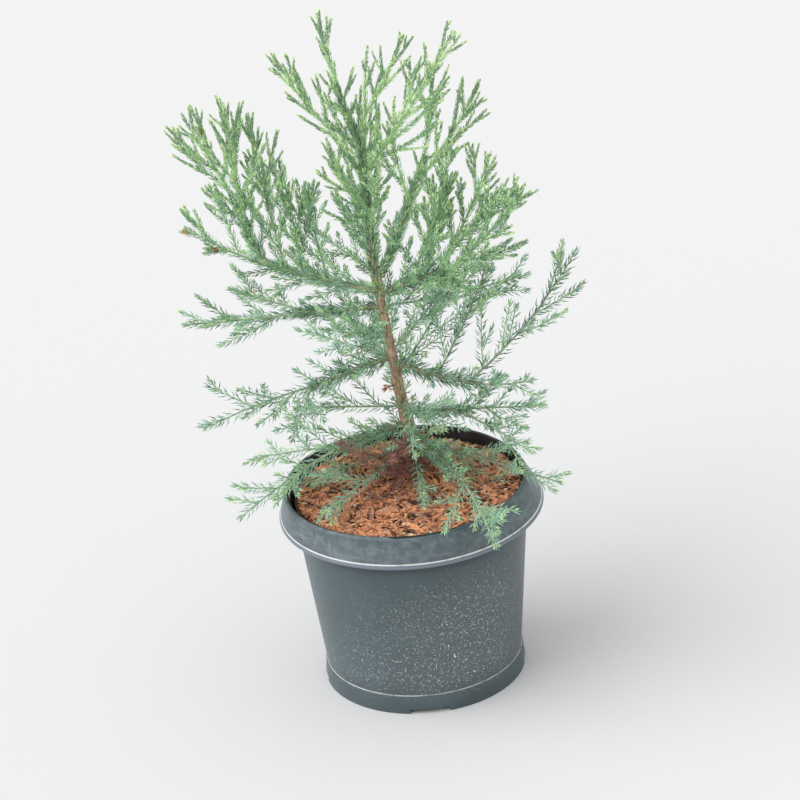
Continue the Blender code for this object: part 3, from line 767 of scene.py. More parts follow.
def needle_kinds(shoot, to_tip, bud, dice):
    """A colour for each needle, from its spray's tone and its distance from the tip.

    The shade is dark below 0 and light above 1: the needle's own speckle, its shoot's tone, and painted light
    that lifts the sprays near the soil.
    """
    count, low = len(to_tip), shoot.openness
    if shoot.kind in RUSTY_SHARE:
        return np.where(dice.uniform(0, 1, count) < RUSTY_SHARE[shoot.kind], KIND["rust"], KIND["dead"])
    height = shoot.points[:, 2].mean()
    high, near_soil = share_between(height, *FRESHER), share_between(height, *BY_THE_SOIL)
    young = np.clip(1 - to_tip / (17 - 6 * low + 36 * high), 0, 1)
    speckle = (dice.uniform(0, 1, count) - 0.5) * (1 - 0.45 * high) + 0.5 + 0.12 * high
    # Near the soil every needle's shade is raised: painted light against the crown's shade.
    shade = speckle + 0.26 * dice.normal() * (1 - 0.4 * high) + 0.46 * near_soil
    blueness = np.clip(0.32 + 0.7 * low - 0.16 * high + 0.14 * dice.normal() - 0.6 * young, 0, 1)
    is_blue = dice.uniform(0, 1, count) < blueness
    blue = np.where(shade > 0.66 - 0.2 * low, KIND["pale_blue"], KIND["blue"])
    blue = np.where(shade < 0.25, KIND["deep_blue"], blue)
    green = np.where(shade + 0.9 * young > 0.95 - 0.15 * high, KIND["bright"], KIND["fresh"])
    green = np.where(shade - young < 0.16 - 0.2 * high, KIND["deep"], green)
    kinds = np.where(is_blue, blue, green)
    bud_green = KIND["pale_blue"] if dice.uniform(0, 1) < 0.75 * low else KIND["fresh"]
    bud_green = np.where(shade > 0.4 + 0.5 * low, KIND["bright"], bud_green)
    tip_from = 0.3 + 0.8 * low + 0.5 * near_soil + (0.35 if shoot.level == 2 else 0.0)
    kinds = np.where(bud, np.where(shade > tip_from, KIND["tip"], bud_green), kinds)
    withered = dice.uniform(0, 1, count) < WITHERED_SHARE
    return np.where(withered, KIND["rust"], kinds)


def needle_mesh(name, rows, materials):
    """Awl-shaped needles of three sides that bend forward from a fuller middle, all in one mesh."""
    feet, ahead, outward, lengths, widths, leans, kinds = rows
    count = len(feet)
    cos, sin = np.cos(leans)[:, None], np.sin(leans)[:, None]
    first = cos * ahead + sin * outward
    bent = rows_unit(first + 0.25 * ahead)
    across = rows_unit(np.cross(ahead, outward))
    lift = rows_unit(np.cross(across, first))
    size, half = lengths[:, None], widths[:, None] * 0.5
    middle = feet + first * size * 0.4
    point = middle + bent * size * 0.6
    ring = [middle + across * half, middle - across * half, middle + lift * half * 1.7]
    points = np.stack([feet, *ring, point], 1).reshape(-1, 3)
    base = 5 * np.arange(count)[:, None]
    corners = ((1, 0, 2), (2, 0, 3), (3, 0, 1), (1, 2, 4), (2, 3, 4), (3, 1, 4))
    faces = np.concatenate([base + corner for corner in corners], 1).reshape(-1, 3)
    return mesh_object(name, points, faces, materials, np.repeat(kinds, 6), smooth=False)


# ---------------------------------------------------------------- materials


def fill(tree, socket, value):
    """Links an input to another node's output, or sets it to a number or a colour."""
    if isinstance(value, bpy.types.NodeSocket):
        tree.links.new(value, socket)
    elif isinstance(value, (int, float)):
        socket.default_value = value
    else:
        socket.default_value = (*value[:3], 1)


def add(tree, kind, *inputs, **values):
    """A new node's outputs. Its inputs come by place or by name, and its settings by name.

    An underscore in an input's name stands for a space.
    """
    node = tree.nodes.new(kind)
    for name, value in values.items():
        label = name.replace("_", " ")
        if label in node.inputs:
            fill(tree, node.inputs[label], value)
        else:
            setattr(node, name, value)
    for socket, value in zip(node.inputs, inputs):
        fill(tree, socket, value)
    return node.outputs


def reckon(tree, operation, *inputs):
    return add(tree, "ShaderNodeMath", *inputs, operation=operation)["Value"]


def multiply(tree, first, second):
    return reckon(tree, "MULTIPLY", first, second)


def ramp_between(tree, value, low, high):
    """0 below low and 1 above high, or the other way round, eased between them."""
    return add(tree, "ShaderNodeMapRange", value, low, high, interpolation_type="SMOOTHSTEP")["Result"]


def band(tree, value, centre, half):
    """1 within a band about centre, falling to 0 at its edges."""
    offset = reckon(tree, "ABSOLUTE", reckon(tree, "SUBTRACT", value, centre))
    return ramp_between(tree, offset, half, half * 0.4)


def blend_colours(tree, factor, first, second):
    """Mixes two colours, each a socket or plain values."""
    node = tree.nodes.new("ShaderNodeMix")
    node.data_type = "RGBA"
    for place, value in ((0, factor), (6, first), (7, second)):
        fill(tree, node.inputs[place], value)
    return node.outputs[2]


def new_group(name, **inputs):
    """A shader group with its inputs, each a number or a colour by its default.

    Gives back the tree, its inputs by name, and the place on the object.
    """
    tree = bpy.data.node_groups.new(name, "ShaderNodeTree")
    for label, default in inputs.items():
        kind = "NodeSocketFloat" if isinstance(default, float) else "NodeSocketColor"
        socket = tree.interface.new_socket(label.replace("_", " "), in_out="INPUT", socket_type=kind)
        socket.default_value = default
    return tree, add(tree, "NodeGroupInput"), add(tree, "ShaderNodeTexCoord")["Object"]


def close_group(tree, **outputs):
    for label in outputs:
        kind = "NodeSocketColor" if label == "Colour" else "NodeSocketFloat"
        tree.interface.new_socket(label, in_out="OUTPUT", socket_type=kind)
    add(tree, "NodeGroupOutput", **outputs)
    return tree


@functools.lru_cache(maxsize=None)
def tone_group():
    """Uneven tone: a colour made lighter and darker in soft patches."""
    tree, given, place = new_group(
        "Uneven tone", Colour=(0.5, 0.5, 0.5, 1), Patch_scale=200.0, Darkest=0.8, Lightest=1.2
    )
    scale = given["Patch scale"]
    patch = add(tree, "ShaderNodeTexNoise", Vector=place, Scale=scale, Detail=3.0, Roughness=0.6)["Fac"]
    tone = add(tree, "ShaderNodeMapRange", patch, 0.32, 0.68, given["Darkest"], given["Lightest"])["Result"]
    colours = add(tree, "ShaderNodeVectorMath", given["Colour"], operation="SCALE", Scale=tone)["Vector"]
    return close_group(tree, Colour=colours, Patch=patch)


@functools.lru_cache(maxsize=None)
def grain_group():
    """Grain stretched along Z: a mask and a height, for bark fibre and for scratches drawn downwards."""
    tree, given, place = new_group("Long grain", Across_scale=900.0, Along_scale=120.0, Low=0.45, High=0.65)
    across = given["Across scale"]
    scale = add(tree, "ShaderNodeCombineXYZ", across, across, given["Along scale"])["Vector"]
    stretched = add(tree, "ShaderNodeVectorMath", place, scale, operation="MULTIPLY")["Vector"]
    fibre = add(tree, "ShaderNodeTexNoise", Vector=stretched, Scale=1.0, Detail=4.0, Roughness=0.62)["Fac"]
    mask = add(tree, "ShaderNodeMapRange", fibre, given["Low"], given["High"])["Result"]
    return close_group(tree, Mask=mask, Height=fibre)


@functools.lru_cache(maxsize=None)
def speck_group():
    """Small round specks, thick or thin on the ground: a mask from cells and a density."""
    tree, given, place = new_group("Specks", Speck_scale=400.0, Size=0.2, Share=0.4)
    cells = add(tree, "ShaderNodeTexVoronoi", Vector=place, Scale=given["Speck scale"], Randomness=1.0)
    drawn = add(tree, "ShaderNodeSeparateColor", cells["Color"])
    chosen = reckon(tree, "LESS_THAN", drawn["Red"], given["Share"])
    radius = multiply(tree, drawn["Green"], given["Size"])
    inside = reckon(tree, "LESS_THAN", cells["Distance"], radius)
    return close_group(tree, Mask=multiply(tree, chosen, inside))


@functools.lru_cache(maxsize=None)
def hair_group():
    """Short curved hairlines: the edges of large cells, kept only in small patches."""
    tree, given, place = new_group("Hairlines", Hair_scale=260.0, Thickness=0.03, Patch_scale=520.0)
    scale = given["Hair scale"]
    cells = add(tree, "ShaderNodeTexVoronoi", feature="DISTANCE_TO_EDGE", Vector=place, Scale=scale)
    thin = reckon(tree, "LESS_THAN", cells["Distance"], given["Thickness"])
    patches = add(tree, "ShaderNodeTexNoise", Vector=place, Scale=given["Patch scale"], Detail=1.0)["Fac"]
    kept = reckon(tree, "GREATER_THAN", patches, 0.58)
    return close_group(tree, Mask=multiply(tree, thin, kept))


def use_group(tree, group, **values):
    return add(tree, "ShaderNodeGroup", node_tree=group, **values)


def new_material(name, roughness, specular=0.5):
    """A material, with its tree and its shader's inputs."""
    made = bpy.data.materials.new(name)
    made.use_nodes = True
    shader = made.node_tree.nodes["Principled BSDF"].inputs
    shader["Roughness"].default_value = roughness
    shader["Specular IOR Level"].default_value = specular
    return made, made.node_tree, shader


def bump(tree, shader, height, strength, distance):
    normal = add(tree, "ShaderNodeBump", Height=height, Strength=strength, Distance=distance)["Normal"]
    fill(tree, shader["Normal"], normal)


def plain_material(name, base, roughness, patch_scale, darkest, lightest, specular=0.5):
    """One colour with uneven tone: needles, chips and twigs."""
    made, tree, shader = new_material(name, roughness, specular)
    spread = {"Patch_scale": patch_scale, "Darkest": darkest, "Lightest": lightest}
    tone = use_group(tree, tone_group(), Colour=base, **spread)
    fill(tree, shader["Base Color"], tone["Colour"])
    return made


def axes_of(tree):
    """The place on the object as X, Y and Z."""
    place = add(tree, "ShaderNodeTexCoord")["Object"]
    return add(tree, "ShaderNodeSeparateXYZ", place)


def bark_material(name, settings, young_from, young_to):
    """Fibrous bark, brown at the foot and olive where it is young, between two heights."""
    made, tree, shader = new_material(name, 0.9, 0.25)
    grain = use_group(tree, grain_group(), Across_scale=1100.0, Along_scale=230.0, Low=0.36, High=0.56)
    youth = ramp_between(tree, axes_of(tree)["Z"], young_from, young_to)
    old = blend_colours(tree, grain["Mask"], settings.dark, settings.light)
    young = blend_colours(tree, grain["Mask"], settings.young_dark, settings.young_light)
    colours = blend_colours(tree, youth, old, young)
    tone = use_group(tree, tone_group(), Colour=colours, Patch_scale=160.0, Darkest=0.7, Lightest=1.25)
    fill(tree, shader["Base Color"], tone["Colour"])
    bump(tree, shader, grain["Height"], 0.7, 0.0006)
    return made


# Dried splashes on the pot, fine to coarse: cells per metre, size, share of cells and strength.
SPLASHES = (
    (1500.0, 0.36, 0.55, 0.5),
    (800.0, 0.28, 0.4, 0.8),
    (340.0, 0.15, 0.22, 1.0),
)


def splashed_area(tree, axes):
    """Where water has dried on the pot: the body's middle, most of it low on the right."""
    lowness = reckon(tree, "SUBTRACT", axes["X"], multiply(tree, axes["Z"], 0.7))
    under_bead = ramp_between(tree, axes["Z"], 0.124, 0.085)
    over_foot = ramp_between(tree, axes["Z"], 0.004, 0.03)
    dirt = multiply(tree, multiply(tree, under_bead, over_foot), ramp_between(tree, lowness, -0.15, 0.03))
    return multiply(tree, dirt, ramp_between(tree, axes["X"], 0.078, 0.05))


def pot_material(settings):
    """Grey plastic, rubbed pale on the collar, with painted shade in a band under the bead, painted sheen on
    the bead's face, a pale bead edge that is partly rubbed and partly painted highlight, a dusty foot line
    and dried splashes.
    """
    made, tree, shader = new_material("scuffed plastic", 0.45)
    axes = axes_of(tree)
    height = axes["Z"]
    plastic = settings.plastic
    tone = use_group(tree, tone_group(), Colour=plastic, Patch_scale=26.0, Darkest=0.93, Lightest=1.1)
    worn = use_group(tree, tone_group(), Patch_scale=120.0)["Patch"]
    scratches = use_group(tree, grain_group(), Across_scale=420.0, Along_scale=60.0, Low=0.58, High=0.74)
    wipes = use_group(tree, grain_group(), Across_scale=70.0, Along_scale=520.0, Low=0.5, High=0.72)
    on_collar = ramp_between(tree, height, (BEAD_HEIGHT + 1) * MM, (BEAD_HEIGHT + 4) * MM)
    near_bead = ramp_between(tree, height, POT_HEIGHT * MM, (BEAD_HEIGHT + 2) * MM)
    rubs = ramp_between(tree, worn, 0.42, 0.75)
    # The bead's top edge, painted near white in worn patches below: partly rubbed wear, partly painted
    # highlight.
    edge = band(tree, height, (BEAD_HEIGHT + 2.6) * MM, 0.0006)
    step = band(tree, height, STEP_HEIGHT * MM, 0.0004)
    dirt = splashed_area(tree, axes)
    rubbing = ((near_bead, 0.15), (rubs, 0.28), (wipes["Mask"], 0.24), (scratches["Mask"], 0.34))
    # A band round the body under the bead is blended halfway to the inside's near-black colour: painted shade
    # under the collar.
    coats = [(band(tree, height, (BEAD_HEIGHT - 3) * MM, 0.012), 0.5, settings.inside)]
    coats += [(multiply(tree, on_collar, mask), strength, settings.scuffed) for mask, strength in rubbing]
    coats += [
        # The bead's outer face is painted a lighter, bluer grey than the plastic: painted sheen.
        (band(tree, height, (BEAD_HEIGHT + 0.6) * MM, 0.0019), 0.75, settings.strip),
        (multiply(tree, edge, ramp_between(tree, worn, 0.15, 0.5)), 0.9, settings.mineral),
        (multiply(tree, step, ramp_between(tree, worn, 0.25, 0.55)), 0.65, settings.mineral),
        (dirt, 0.05, settings.mineral),
    ]
    for scale, size, share, strength in SPLASHES:
        share = multiply(tree, dirt, share)
        specks = use_group(tree, speck_group(), Speck_scale=scale, Size=size, Share=share)
        coats.append((specks["Mask"], strength, settings.mineral))
    hairs = use_group(tree, hair_group())["Mask"]
    coats.append((multiply(tree, hairs, dirt), 0.9, settings.mineral))
    colours = tone["Colour"]
    for mask, strength, coat in coats:
        colours = blend_colours(tree, multiply(tree, mask, strength), colours, coat)
    fill(tree, shader["Base Color"], colours)
    roughness = add(tree, "ShaderNodeMapRange", tone["Patch"], To_Min=0.30, To_Max=0.44)["Result"]
    fill(tree, shader["Roughness"], roughness)
    bump(tree, shader, scratches["Height"], 0.12, 0.0003)
    return made


# ---------------------------------------------------------------- pot


def body_radius(height):
    taper = (BODY_RADIUS_TOP - STEP_RADIUS) / (BODY_HEIGHT_TOP - STEP_HEIGHT)
    return STEP_RADIUS + taper * (height - STEP_HEIGHT)


def pot_profile():
    """The pot's outline, as (radius, height, rounding) from under its middle, out, up and back inside."""
    floor_top = FLOOR_RISE + WALL
    collar_root = POT_HEIGHT - 4.0
    mouth = body_radius(POT_HEIGHT) - WALL
    return (
        (0, 0, 0),
        (DISC_RADIUS, 0, 0.8),
        (DISC_RADIUS + 3.0, FLOOR_RISE, 0.8),
        (FOOT_RADIUS - 2.9, FLOOR_RISE, 0.6),
        (FOOT_RADIUS - 1.6, 0, 0.3),
        (FOOT_RADIUS, 0, 0.5),
        (STEP_RADIUS + 0.9, STEP_HEIGHT - 0.8, 0.5),
        (STEP_RADIUS, STEP_HEIGHT, 0.4),
        (body_radius(STRAIGHT_TO), STRAIGHT_TO, 0),
        (body_radius(BEAD_HEIGHT), BEAD_HEIGHT, 0),
        (body_radius(collar_root), collar_root, 0.8),
        (BEAD_RADIUS - 2.3, BEAD_HEIGHT + 0.3, 0.4),
        (BEAD_RADIUS - 1.5, BEAD_HEIGHT - 1.2, 0.4),
        (BEAD_RADIUS - 0.2, BEAD_HEIGHT - 0.6, 0.5),
        (BEAD_RADIUS - 0.1, BEAD_HEIGHT + 1.2, 0.8),
        (BEAD_RADIUS - 1.6, BEAD_HEIGHT + 3.0, 1.0),
        (mouth + 3.0, POT_HEIGHT - 1.2, 1.2),
        (mouth + 1.6, POT_HEIGHT, 0.6),
        (mouth, POT_HEIGHT - 0.6, 0.5),
        (body_radius(BEAD_HEIGHT) - WALL, BEAD_HEIGHT, 0),
        (body_radius(STRAIGHT_TO) - WALL, STRAIGHT_TO, 0),
        (body_radius(floor_top) - WALL, floor_top, 0.8),
        (DISC_RADIUS + 3.4, floor_top, 0.8),
        (DISC_RADIUS + 0.9, WALL, 0.6),
        (0, WALL, 0),
    )


def rounded(profile):
    """Replaces each corner by a short curve, no nearer its neighbours than 45% of the way."""
    outline = []
    for k, (radius, height, rounding) in enumerate(profile):
        here = np.array((radius, height))
        if not rounding:
            outline.append(here)
            continue
        before = np.array(profile[k - 1][:2]) - here
        after = np.array(profile[k + 1][:2]) - here
        cut = min(rounding, 0.45 * np.linalg.norm(before), 0.45 * np.linalg.norm(after))
        start, end = here + unit(before) * cut, here + unit(after) * cut
        for t in (0.0, 0.33, 0.67, 1.0):
            outline.append((1 - t) ** 2 * start + 2 * t * (1 - t) * here + t * t * end)
    return outline


def turned(outline, sides):
    """Points and faces of an outline turned about Z, whose two ends are on the axis."""
    turn = turns(sides)
    inner = outline[1:-1]
    rings = [np.stack([r * np.cos(turn), r * np.sin(turn), np.full(sides, z)], 1) for r, z in inner]
    points = np.concatenate(rings + [np.array([[0, 0, outline[0][1]], [0, 0, outline[-1][1]]])])
    return points, closed_tube(len(inner), sides, len(points) - 2)


def cut_from(target, low, high, place, turn, sides=4):
    """Cuts a block, or a drill of more sides, out of an object."""
    if sides == 4:
        corners = [(x, y, z) for x in (low[0], high[0]) for y in (low[1], high[1]) for z in (low[2], high[2])]
        faces = [(0, 1, 3, 2), (4, 6, 7, 5), (0, 4, 5, 1), (2, 3, 7, 6), (0, 2, 6, 4), (1, 5, 7, 3)]
        tool = mesh_object("tool", corners, np.array(faces), smooth=False)
    else:
        outline = ((0, low[2]), (high[0], low[2]), (high[0], high[2]), (0, high[2]))
        tool = mesh_object("tool", *turned(outline, sides), smooth=False)
    tool.matrix_world = Matrix.Rotation(turn, 4, "Z") @ Matrix.Translation(Vector(place) * MM)
    bpy.context.view_layer.update()
    cut = target.modifiers.new("cut", "BOOLEAN")
    cut.operation = "DIFFERENCE"
    cut.object = tool
    graph = bpy.context.evaluated_depsgraph_get()
    target.data = bpy.data.meshes.new_from_object(target.evaluated_get(graph), depsgraph=graph)
    target.modifiers.clear()
    bpy.data.objects.remove(tool, do_unlink=True)


def out_of_true(made, wave, lean):
    """Pushes the mouth a little out of round and sideways, with a folded lip at the front."""
    points = read_rows(made.data.vertices, "co")
    turn = np.arctan2(points[:, 1], points[:, 0])
    reach = np.maximum(np.hypot(points[:, 0], points[:, 1]), 1e-6)
    high = share_between(points[:, 2] / MM, *WAVE_HEIGHTS)
    shift = wave * (0.6 * np.sin(2 * turn + 0.7) + 0.4 * np.sin(5 * turn + 2.0)) * high
    fold = share_between(turn, FOLD_FROM, FOLD_FROM + 0.05) * share_between(turn, FOLD_TO, FOLD_TO - 0.2)
    outer_lip = (points[:, 2] / MM > POT_HEIGHT - 2.2) & (reach / MM > body_radius(POT_HEIGHT) - WALL + 0.7)
    shift += FOLD_WIDTH * MM * fold * outer_lip
    points[:, :2] *= (1 + shift / reach * (reach > 0.03))[:, None]
    points[:, 2] -= FOLD_DROP * MM * fold * outer_lip
    points[:, 0] -= lean * share_between(points[:, 2] / MM, BEAD_HEIGHT + 2, POT_HEIGHT)
    made.data.vertices.foreach_set("co", points.reshape(-1))
    made.data.update()


def inner_faces(mesh):
    """1 for each face on the inner wall or the lip's inner slope, and 0 for the rest."""
    centres = read_rows(mesh.polygons, "center") / MM
    reach = np.hypot(centres[:, 0], centres[:, 1])
    within = reach < body_radius(centres[:, 2]) - 0.3 * WALL
    return (within & (centres[:, 2] > FLOOR_RISE + 0.5)).astype(np.int32)


class SEQUOIA_OT_pot(bpy.types.Operator):
    """Turn the nursery pot, cut its notches and drain holes, and finish its scuffed plastic"""

    bl_idname = "sequoia.pot"
    bl_label = "Nursery pot"

    def execute(self, context):
        settings = context.scene.sequoia_pot
        points, faces = turned(rounded(pot_profile()), settings.round_sides)
        made = mesh_object("nursery_pot", points, faces)
        for k in range(NOTCHES):
            turn = 2 * math.pi * k / NOTCHES - math.pi / 2
            half = NOTCH_WIDTH / 2
            low, high = (FOOT_RADIUS - 6, -half, -2), (FOOT_RADIUS + 4, half, NOTCH_HEIGHT)
            cut_from(made, low, high, (0, 0, 0), turn)
        for k in range(DRAIN_HOLES):
            turn = 2 * math.pi * (k + 0.5) / DRAIN_HOLES
            size = (DRAIN_RADIUS, 0, 6)
            cut_from(made, (0, 0, 0), size, (DRAIN_CIRCLE, 0, FLOOR_RISE - 2), turn, 20)
        made.data.materials.clear()
        made.data.materials.append(pot_material(settings))
        # The inside of the pot and the lip's inner slope take the inside colour, painted near black as shade.
        made.data.materials.append(plain_material("damp inside", settings.inside, 0.4, 60.0, 0.7, 1.4))
        made.data.polygons.foreach_set("material_index", inner_faces(made.data))
        made.data.polygons.foreach_set("use_smooth", np.full(len(made.data.polygons), True))
        made.data.set_sharp_from_angle(angle=math.radians(40))
        out_of_true(made, settings.lip_wave, settings.mouth_lean)
        piece(made, "pot_plastic", "pot")
        return {"FINISHED"}


# ---------------------------------------------------------------- compost


# The bark chips' tones, and the share of the chips that each takes.
CHIP_TONES = {"orange": 0.30, "red": 0.37, "brown": 0.20, "tan": 0.05, "dark": 0.08}
CHIP_OUTLINE = ((0.5, 0.12), (0.22, 0.5), (-0.25, 0.44), (-0.5, -0.08), (-0.2, -0.5), (0.27, -0.42))
BED_UNDER_CHIPS = 1.2
GRIT_PLACES = ((-6, -58), (22, -30), (-40, -22), (48, 5), (-20, -66), (30, 58), (-58, 12), (12, -74))
OCTAHEDRON = ((0, 1, 2), (1, 3, 2), (3, 4, 2), (4, 0, 2), (1, 0, 5), (3, 1, 5), (4, 3, 5), (0, 4, 5))


def soil_height(x, y):
    """Height of the compost: low at the back, heaped a little at the front and round the trunk."""
    spot = Vector((x / 9, y / 9, 0.3))
    small = Vector((x / 2.6, y / 2.6, 4.1))
    slope = -1.3 * y / 80
    mound = 1.5 * math.exp(-((x - 7) ** 2 + (y - TRUNK_FOOT_Y) ** 2) / 500)
    return SOIL_LEVEL + slope + mound + 1.1 * noise.noise(spot) + 0.5 * noise.noise(small)


def bed_mesh(material):
    """The uneven ground between the chips, closed down to the pot's floor."""
    rings, sides = 64, 180
    edge = body_radius(SOIL_LEVEL) - WALL - GAP
    turn = turns(sides)
    points = []
    for k in range(1, rings + 1):
        reach = edge * k / rings
        for a in turn:
            x, y = reach * math.cos(a), reach * math.sin(a)
            points.append((x, y, soil_height(x, y) - BED_UNDER_CHIPS))
    foot = FLOOR_RISE + WALL + GAP
    narrow = body_radius(foot) - WALL - GAP
    points += [(narrow * math.cos(a), narrow * math.sin(a), foot) for a in turn]
    points += [(0, 0, soil_height(0, 0) - BED_UNDER_CHIPS), (0, 0, foot)]
    centre, under = len(points) - 2, len(points) - 1
    fans = np.concatenate([cap(sides, 0, centre), cap(sides, rings * sides, under, False)])
    quads = ring_faces(rings + 1, sides)[:, ::-1]
    return mesh_object("compost_bed", np.array(points), [quads, fans], [material])


def chip_mesh(settings, materials):
    """Loose splinters of bark: flat six-cornered slivers, tipped every way, in one mesh."""
    dice = np.random.default_rng(41)
    count = settings.chips
    edge = body_radius(SOIL_LEVEL) - WALL - 2.0
    reach = edge * np.sqrt(dice.uniform(0, 1, count))
    turn = dice.uniform(0, 2 * np.pi, count)
    x, y = reach * np.cos(turn), reach * np.sin(turn)
    size = np.clip(dice.lognormal(math.log(4.4), 0.62, count), 1.6, settings.longest / MM)
    width = np.minimum(size * dice.uniform(0.1, 0.36, count), 4.5)
    thick = np.clip(size * dice.uniform(0.06, 0.14, count), 0.35, 1.3)
    lift = dice.uniform(-0.5, 2.0, count)
    z = np.array([soil_height(a, b) for a, b in zip(x, y)]) - 0.6 + lift
    yaw = dice.uniform(0, 2 * np.pi, count)
    pitch, roll = dice.normal(0, 0.24, count), dice.normal(0, 0.45, count)
    ahead = np.stack([np.cos(yaw) * np.cos(pitch), np.sin(yaw) * np.cos(pitch), np.sin(pitch)], 1)
    level = np.stack([-np.sin(yaw), np.cos(yaw), np.zeros(count)], 1)
    upward = np.cross(ahead, level)
    side = np.cos(roll)[:, None] * level + np.sin(roll)[:, None] * upward
    above = np.cross(ahead, side)
    inward = np.clip((reach + size * 0.5 - edge) / size, 0, 1)
    x, y = x * (1 - inward * size / np.maximum(reach, 1)), y * (1 - inward * size / np.maximum(reach, 1))
    centre = np.stack([x, y, z], 1)
    points = []
    for top in (0.5, -0.5):
        for forward, sideways in CHIP_OUTLINE:
            ahead_by = ((forward + dice.uniform(-0.09, 0.09, count)) * size)[:, None]
            side_by = ((sideways + dice.uniform(-0.16, 0.16, count)) * width)[:, None]
            up_by = (top * thick * dice.uniform(0.6, 1.2, count))[:, None]
            points.append(centre + ahead * ahead_by + side * side_by + above * up_by)
    points = np.stack(points, 1).reshape(-1, 3)
    base = 12 * np.arange(count)[:, None]
    six = np.arange(6)
    top_faces, low_faces = base + six[None], base + 6 + six[::-1][None]
    walls = np.concatenate([base + np.array([[k, k + 6, (k + 1) % 6 + 6, (k + 1) % 6]]) for k in six], 1)
    share = dice.choice(len(materials), count, p=tuple(CHIP_TONES.values()))
    kinds = np.concatenate([share, share, np.repeat(share, 6)])
    faces = [top_faces, low_faces, walls.reshape(-1, 4)]
    return mesh_object("bark_chips", points, faces, materials, kinds, smooth=False)


def grit_mesh(material):
    """A few white grains among the chips."""
    dice = random.Random(5)
    points, faces = [], []
    for x, y in GRIT_PLACES:
        size = dice.uniform(0.8, 1.5)
        centre = np.array((x, y, soil_height(x, y) + 1.6))
        first = len(points)
        for k in range(6):
            axis = np.zeros(3)
            axis[k % 3] = 1 if k < 3 else -1
            points.append(centre + axis * size * dice.uniform(0.7, 1.2))
        faces += [[first + corner for corner in face] for face in OCTAHEDRON]
    return mesh_object("white_grit", np.array(points), np.array(faces), [material], smooth=False)


class SEQUOIA_OT_compost(bpy.types.Operator):
    """Fill the pot with uneven compost and strew it with bark chips and grit"""

    bl_idname = "sequoia.compost"
    bl_label = "Bark compost"

    def execute(self, context):
        settings = context.scene.sequoia_compost
        bed = bed_mesh(plain_material("damp bed", settings.dark, 0.95, 300.0, 0.5, 1.9, 0.2))
        piece(bed, "bark_chips", "soil")
        finishes = []
        for tone in CHIP_TONES:
            base = getattr(settings, tone)
            finishes.append(plain_material(f"{tone} chip", base, 0.85, 420.0, 0.6, 1.45, 0.3))
        piece(chip_mesh(settings, finishes), "bark_chips")
        piece(grit_mesh(plain_material("white grit", settings.grit, 0.8, 500.0, 0.9, 1.05)), "bark_chips")
        return {"FINISHED"}


# ---------------------------------------------------------------- trunk and boughs


def smooth_path(points, count):
    """A path through the same places, with its corners eased by averaging."""
    fine = np.array([along(points, share)[0] for share in np.linspace(0, 1, count)])
    for _ in range(max(2, count // 12)):
        fine[1:-1] = (fine[:-2] + 2 * fine[1:-1] + fine[2:]) / 4
    return fine


def bark_tube(name, points, radii, sides, rows, ridge, material):
    """A limb with furrows and ridges in its surface, that run along it and drift round it."""
    path = smooth_path(points, rows)
    base = np.interp(np.linspace(0, 1, rows), np.linspace(0, 1, len(radii)), radii)
    turn = -turns(sides)
    relief = np.zeros((rows, sides))
    for k in range(rows):
        for j in range(sides):
            x, y = math.cos(turn[j]), math.sin(turn[j])
            height = path[k, 2] * 0.12 + path[k, 0] * 0.05
            coarse = noise.noise(Vector((x * 2.6, y * 2.6, height)))
            fine = noise.noise(Vector((x * 6.5, y * 6.5, height * 3.1)))
            relief[k, j] = 0.7 * (1 - 2 * abs(coarse)) + 0.5 * fine
    grown = base[:, None] + ridge / MM * relief * (base[:, None] / (TRUNK_DIAMETER / 2)) ** 0.7
    shell = tube_points(path, grown, sides)
    tip = path[-1:] + unit(path[-1] - path[-2]) * base[-1] * 0.5
    points = np.concatenate([shell.reshape(-1, 3), path[:1], tip])
    return mesh_object(name, points, closed_tube(rows, sides, len(points) - 2), [material])


class SEQUOIA_OT_limbs(bpy.types.Operator):
    """Grow the trunk and the boughs with furrowed bark"""

    bl_idname = "sequoia.limbs"
    bl_label = "Trunk and boughs"

    def execute(self, context):
        settings = context.scene.sequoia_bark
        old = bark_material("furrowed bark", settings, 0.27, 0.34)
        young = bark_material("young bark", settings, 0.12, 0.18)
        for name, (points, radii) in limb_paths().items():
            if name == "trunk":
                path = np.concatenate(([points[0] - 3.0 * UP], points))
                made = bark_tube("bark_trunk", path, [radii[0], *radii], 40, 220, settings.ridge, old)
            else:
                into = points[0] - unit(points[1] - points[0]) * 1.6
                path = np.concatenate(([into], points))
                swollen = [radii[0] * 1.15, *radii]
                made = bark_tube(f"bark_{name}", path, swollen, 20, 60, settings.ridge, young)
            piece(made, "bark", name)
        return {"FINISHED"}


# ---------------------------------------------------------------- twigs and needles

# The parts of the crown, each from one height up to another.
PARTS = {"top": (330, math.inf), "middle": (235, 330), "low": (-math.inf, 235)}
DRY_TWIG = 2
MOST_NEEDLES = 32000


def in_part(part, height):
    least, most = PARTS[part]
    return least <= height < most


def shoots_in(part):
    return [shoot for shoot in all_shoots() if in_part(part, shoot.points[:, 2].mean())]


def masses_in(part):
    middles = {mass.name: sum(corner.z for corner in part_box(mass.name)) / 2 / MM for mass in MASSES}
    return [name for name, middle in middles.items() if in_part(part, middle)]


